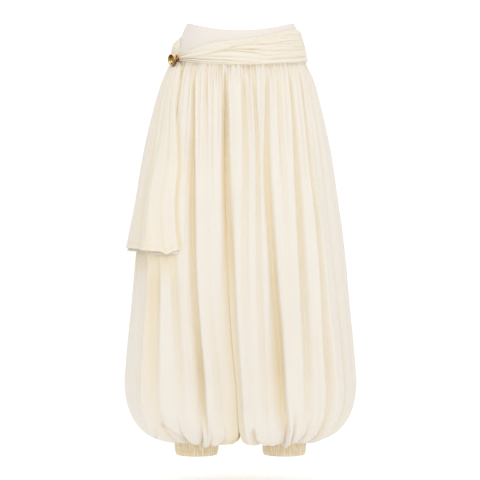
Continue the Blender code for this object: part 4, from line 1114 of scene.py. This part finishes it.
def wall(name, outer, inner, material, closed=False, painted_shade=None):
    """A thin wall between two grids of points, rows by columns. A closed one joins its last column to its first."""
    rows, columns = outer.shape[:2]
    points = np.concatenate([outer.reshape(-1, 3), inner.reshape(-1, 3)])
    index = np.arange(rows * columns).reshape(rows, columns)
    if closed:
        index = np.concatenate([index, index[:, :1]], axis=1)
    offset = rows * columns

    def quads(a, b, c, d):
        return np.stack([a.ravel(), b.ravel(), c.ravel(), d.ravel()], axis=1)

    out = quads(index[:-1, :-1], index[:-1, 1:], index[1:, 1:], index[1:, :-1])
    faces = [out, out[:, ::-1] + offset]
    for row, flip in ((index[0], True), (index[-1], False)):
        rim = quads(row[:-1], row[1:], row[1:] + offset, row[:-1] + offset)
        faces.append(rim[:, ::-1] if flip else rim)
    if not closed:
        for edge, flip in ((index[:, 0], False), (index[:, -1], True)):
            rim = quads(edge[:-1], edge[1:], edge[1:] + offset, edge[:-1] + offset)
            faces.append(rim[:, ::-1] if flip else rim)
    mesh = bpy.data.meshes.new(name + "_cloth")
    mesh.from_pydata(points.tolist(), [], np.concatenate(faces).tolist())
    tidy = bmesh.new()
    tidy.from_mesh(mesh)
    bmesh.ops.recalc_face_normals(tidy, faces=tidy.faces)
    tidy.to_mesh(mesh)
    tidy.free()
    mesh.shade_smooth()
    mesh.set_sharp_from_angle(angle=math.radians(50))
    # Painted shade per point, kept as the fold attribute that the crepe mixes into its colour
    if painted_shade is not None:
        fold = mesh.attributes.new("fold", "FLOAT", "POINT")
        fold.data.foreach_set("value", np.concatenate([painted_shade.ravel(), painted_shade.ravel()]))
    mesh.materials.append(material)
    return link(bpy.data.objects.new(name + "_cloth", mesh))


# Materials

def crepe(name, colour, valley=(1, 1, 1), grain=0.35, roughness=0.75):
    """Crepe: a fine uneven grain, a soft sheen, and painted shade: a warmer, darker tone in the folds, from the mesh's
    fold attribute.
    """
    material = bpy.data.materials.new(name)
    material.use_nodes = True
    tree = material.node_tree
    nodes, links = tree.nodes, tree.links
    shader = nodes["Principled BSDF"]
    shader.inputs["Roughness"].default_value = roughness
    shader.inputs["Sheen Weight"].default_value = 0.08
    shader.inputs["Sheen Roughness"].default_value = 0.5
    shader.inputs["Specular IOR Level"].default_value = 0.2
    where = nodes.new("ShaderNodeTexCoord")

    def noise(scale, detail, stretch=(1, 1, 1)):
        mapping = nodes.new("ShaderNodeMapping")
        mapping.inputs["Scale"].default_value = stretch
        texture = nodes.new("ShaderNodeTexNoise")
        texture.inputs["Scale"].default_value = scale
        texture.inputs["Detail"].default_value = detail
        links.new(where.outputs["Object"], mapping.inputs["Vector"])
        links.new(mapping.outputs["Vector"], texture.inputs["Vector"])
        return texture

    def mixed(kind, factor, first, second):
        mix = nodes.new("ShaderNodeMix")
        mix.data_type = "RGBA"
        mix.blend_type = kind
        for socket, value in ((mix.inputs["Factor"], factor), (mix.inputs["A"], first), (mix.inputs["B"], second)):
            if hasattr(value, "is_linked"):
                links.new(value, socket)
            else:
                socket.default_value = value
        return mix.outputs["Result"]

    # Painted shade: the fold attribute mixes the colour towards the valley colour, warmer and darker, in folds,
    # creases and shaded spots
    fold = nodes.new("ShaderNodeAttribute")
    fold.attribute_name = "fold"
    darker, lighter = ((*(much * c for c in colour), 1) for much in (0.97, 1.03))
    uneven = mixed("MIX", noise(9, 3).outputs["Fac"], darker, lighter)
    shaded_colour = mixed("MULTIPLY", 1.0, uneven, mixed("MIX", fold.outputs["Fac"], (1, 1, 1, 1), (*valley, 1)))
    links.new(shaded_colour, shader.inputs["Base Color"])
    pebble = noise(1500, 2)
    threads = noise(900, 1, (1, 1, 0.12))
    both = nodes.new("ShaderNodeMath")
    both.operation = "ADD"
    links.new(pebble.outputs["Fac"], both.inputs[0])
    links.new(threads.outputs["Fac"], both.inputs[1])
    bump = nodes.new("ShaderNodeBump")
    bump.inputs["Strength"].default_value = grain
    bump.inputs["Distance"].default_value = 0.2 * MM
    links.new(both.outputs[0], bump.inputs["Height"])
    links.new(bump.outputs["Normal"], shader.inputs["Normal"])
    return material


def gold(name):
    """Gold with painted light: a painted highlight where it faces up, and painted dark brown reflections below and in
    patches.
    """
    material = bpy.data.materials.new(name)
    material.use_nodes = True
    nodes, links = material.node_tree.nodes, material.node_tree.links
    shader = nodes["Principled BSDF"]
    shader.inputs["Metallic"].default_value = 1
    # Painted light: the colour follows how far each point faces up, from painted dark brown reflection to a painted
    # highlight, broken up by noise
    facing = nodes.new("ShaderNodeNewGeometry")
    parts = nodes.new("ShaderNodeSeparateXYZ")
    links.new(facing.outputs["Normal"], parts.inputs["Vector"])
    reflection_patches = nodes.new("ShaderNodeTexNoise")
    reflection_patches.inputs["Scale"].default_value = 190
    reflection_patches.inputs["Detail"].default_value = 1
    total = nodes.new("ShaderNodeMath")
    total.operation = "MULTIPLY_ADD"
    total.inputs[1].default_value = 0.45
    links.new(parts.outputs["Z"], total.inputs[0])
    links.new(reflection_patches.outputs["Fac"], total.inputs[2])
    ramp = nodes.new("ShaderNodeValToRGB")
    ramp.color_ramp.elements[0].position = 0.30
    ramp.color_ramp.elements[0].color = (0.16, 0.075, 0.02, 1)
    ramp.color_ramp.elements[1].position = 0.72
    ramp.color_ramp.elements[1].color = (1.0, 0.78, 0.38, 1)
    middle = ramp.color_ramp.elements.new(0.48)
    middle.color = (0.50, 0.29, 0.09, 1)
    links.new(total.outputs[0], ramp.inputs["Fac"])
    links.new(ramp.outputs["Color"], shader.inputs["Base Color"])
    shader.inputs["Roughness"].default_value = 0.22
    return material


# Each crepe's second colour is its painted shade, warmer and darker, mixed in by the fold attribute
FOLD_SHADE_COLOUR = (0.97, 0.895, 0.71)
leg_crepe = crepe("leg_crepe", (0.80, 0.75, 0.675), FOLD_SHADE_COLOUR)
yoke_crepe = crepe("yoke_crepe", (0.79, 0.735, 0.675), (0.93, 0.86, 0.74))
sash_crepe = crepe("sash_crepe", (0.81, 0.755, 0.665), FOLD_SHADE_COLOUR)
cuff_knit = crepe("cuff_knit", (0.90, 0.81, 0.64), (0.85, 0.79, 0.66), grain=0.5, roughness=0.85)
clasp_gold = gold("clasp_gold")


# Pieces

def place(piece, node, slot):
    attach(piece, "root")
    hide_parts(node)
    return piece


for face in ("front", "back"):
    yoke = place(yoke_shell("yoke_" + face, face, yoke_crepe), "yoke_" + face, "yoke_cloth")
    for label, side in (("left", 1), ("right", -1)):
        node = "leg_" + face + "_" + label
        leg = place(leg_shell(node, side, face, leg_crepe), node, "leg_cloth")
for label, side in (("left", 1), ("right", -1)):
    band = place(cuff_shell("cuff_" + label, side, cuff_knit), "cuff_" + label, "cuff_elastic")
for name, table in (("sash_front", SASH_FRONT), ("sash_back", SASH_BACK)):
    wrap = place(sash_shell(name, table, sash_crepe), name, "sash_cloth")
for name in ("sash_tail", "sash_tail_under"):
    tail = place(tail_shell(name, sash_crepe), name, "sash_cloth")
place(clasp_cup(clasp_gold), "clasp_cup", "clasp_metal")
place(clasp_ring(clasp_gold), "clasp_ring", "clasp_metal")


# Floor, light and camera

VIEW_DISTANCE = 3.6
MM_PER_PIXEL = 2.4
FRAME_PIXELS = 480
MIDDLE_HEIGHT = -0.506
MIDDLE_X = -1.2 * MM
FLOOR_HEIGHT = -1.10

bpy.ops.mesh.primitive_plane_add(size=40, location=(0, 0, FLOOR_HEIGHT))
floor = bpy.context.object
floor.name = "floor"
pale = bpy.data.materials.new("pale_floor")
pale.use_nodes = True
pale.node_tree.nodes["Principled BSDF"].inputs["Base Color"].default_value = (0.95, 0.95, 0.95, 1)
pale.node_tree.nodes["Principled BSDF"].inputs["Roughness"].default_value = 0.9
pale.node_tree.nodes["Principled BSDF"].inputs["Emission Color"].default_value = (1, 1, 1, 1)
pale.node_tree.nodes["Principled BSDF"].inputs["Emission Strength"].default_value = 0.17
floor.data.materials.append(pale)

# The light all round, from front to back and from below to above, and how much dimmer it is at the sides
TENT_FRONT_BACK = (0.42, 0.60)
TENT_BOTTOM_TOP = (0.30, 0.68)
TENT_SIDES = 0.32


def light_tent():
    """White all round, a little brighter from above and behind than from below and in front."""
    world = bpy.data.worlds.new("light_tent")
    world.use_nodes = True
    nodes, links = world.node_tree.nodes, world.node_tree.links
    where = nodes.new("ShaderNodeTexCoord")
    parts = nodes.new("ShaderNodeSeparateXYZ")
    links.new(where.outputs["Generated"], parts.inputs["Vector"])

    def ramped(output, values):
        span = nodes.new("ShaderNodeMapRange")
        span.inputs["From Min"].default_value, span.inputs["From Max"].default_value = -1, 1
        span.inputs["To Min"].default_value, span.inputs["To Max"].default_value = values
        links.new(parts.outputs[output], span.inputs["Value"])
        return span.outputs["Result"]

    total = nodes.new("ShaderNodeMath")
    total.operation = "ADD"
    links.new(ramped("Y", TENT_FRONT_BACK), total.inputs[0])
    links.new(ramped("Z", TENT_BOTTOM_TOP), total.inputs[1])
    sideways = nodes.new("ShaderNodeMath")
    sideways.operation = "ABSOLUTE"
    links.new(parts.outputs["X"], sideways.inputs[0])
    dimmed = nodes.new("ShaderNodeMath")
    dimmed.operation = "MULTIPLY_ADD"
    dimmed.inputs[1].default_value = -TENT_SIDES
    links.new(sideways.outputs[0], dimmed.inputs[0])
    links.new(total.outputs[0], dimmed.inputs[2])
    links.new(dimmed.outputs[0], nodes["Background"].inputs["Strength"])
    nodes["Background"].inputs["Color"].default_value = (1, 1, 1, 1)
    return world


bpy.context.scene.world = light_tent()


def softbox(name, where, aim, size, power):
    lamp = bpy.data.lights.new(name, "AREA")
    lamp.shape = "RECTANGLE"
    lamp.size, lamp.size_y = size
    lamp.energy = power
    box = bpy.data.objects.new(name, lamp)
    bpy.context.scene.collection.objects.link(box)
    box.location = where
    box.rotation_euler = (Vector(aim) - Vector(where)).to_track_quat("-Z", "Y").to_euler()


softbox("front_top", (0.3, -1.8, 1.0), (0, 0, -0.2), (1.6, 1.6), 9)

camera = bpy.data.cameras.new("camera")
camera.sensor_width = 36
camera.lens = 36 * VIEW_DISTANCE / (FRAME_PIXELS * MM_PER_PIXEL * MM)
viewer = bpy.data.objects.new("camera", camera)
bpy.context.scene.collection.objects.link(viewer)
viewer.location = (MIDDLE_X, -VIEW_DISTANCE, MIDDLE_HEIGHT)
viewer.rotation_euler = (math.pi / 2, 0, 0)
bpy.context.scene.camera = viewer
bpy.context.scene.view_settings.view_transform = "Standard"
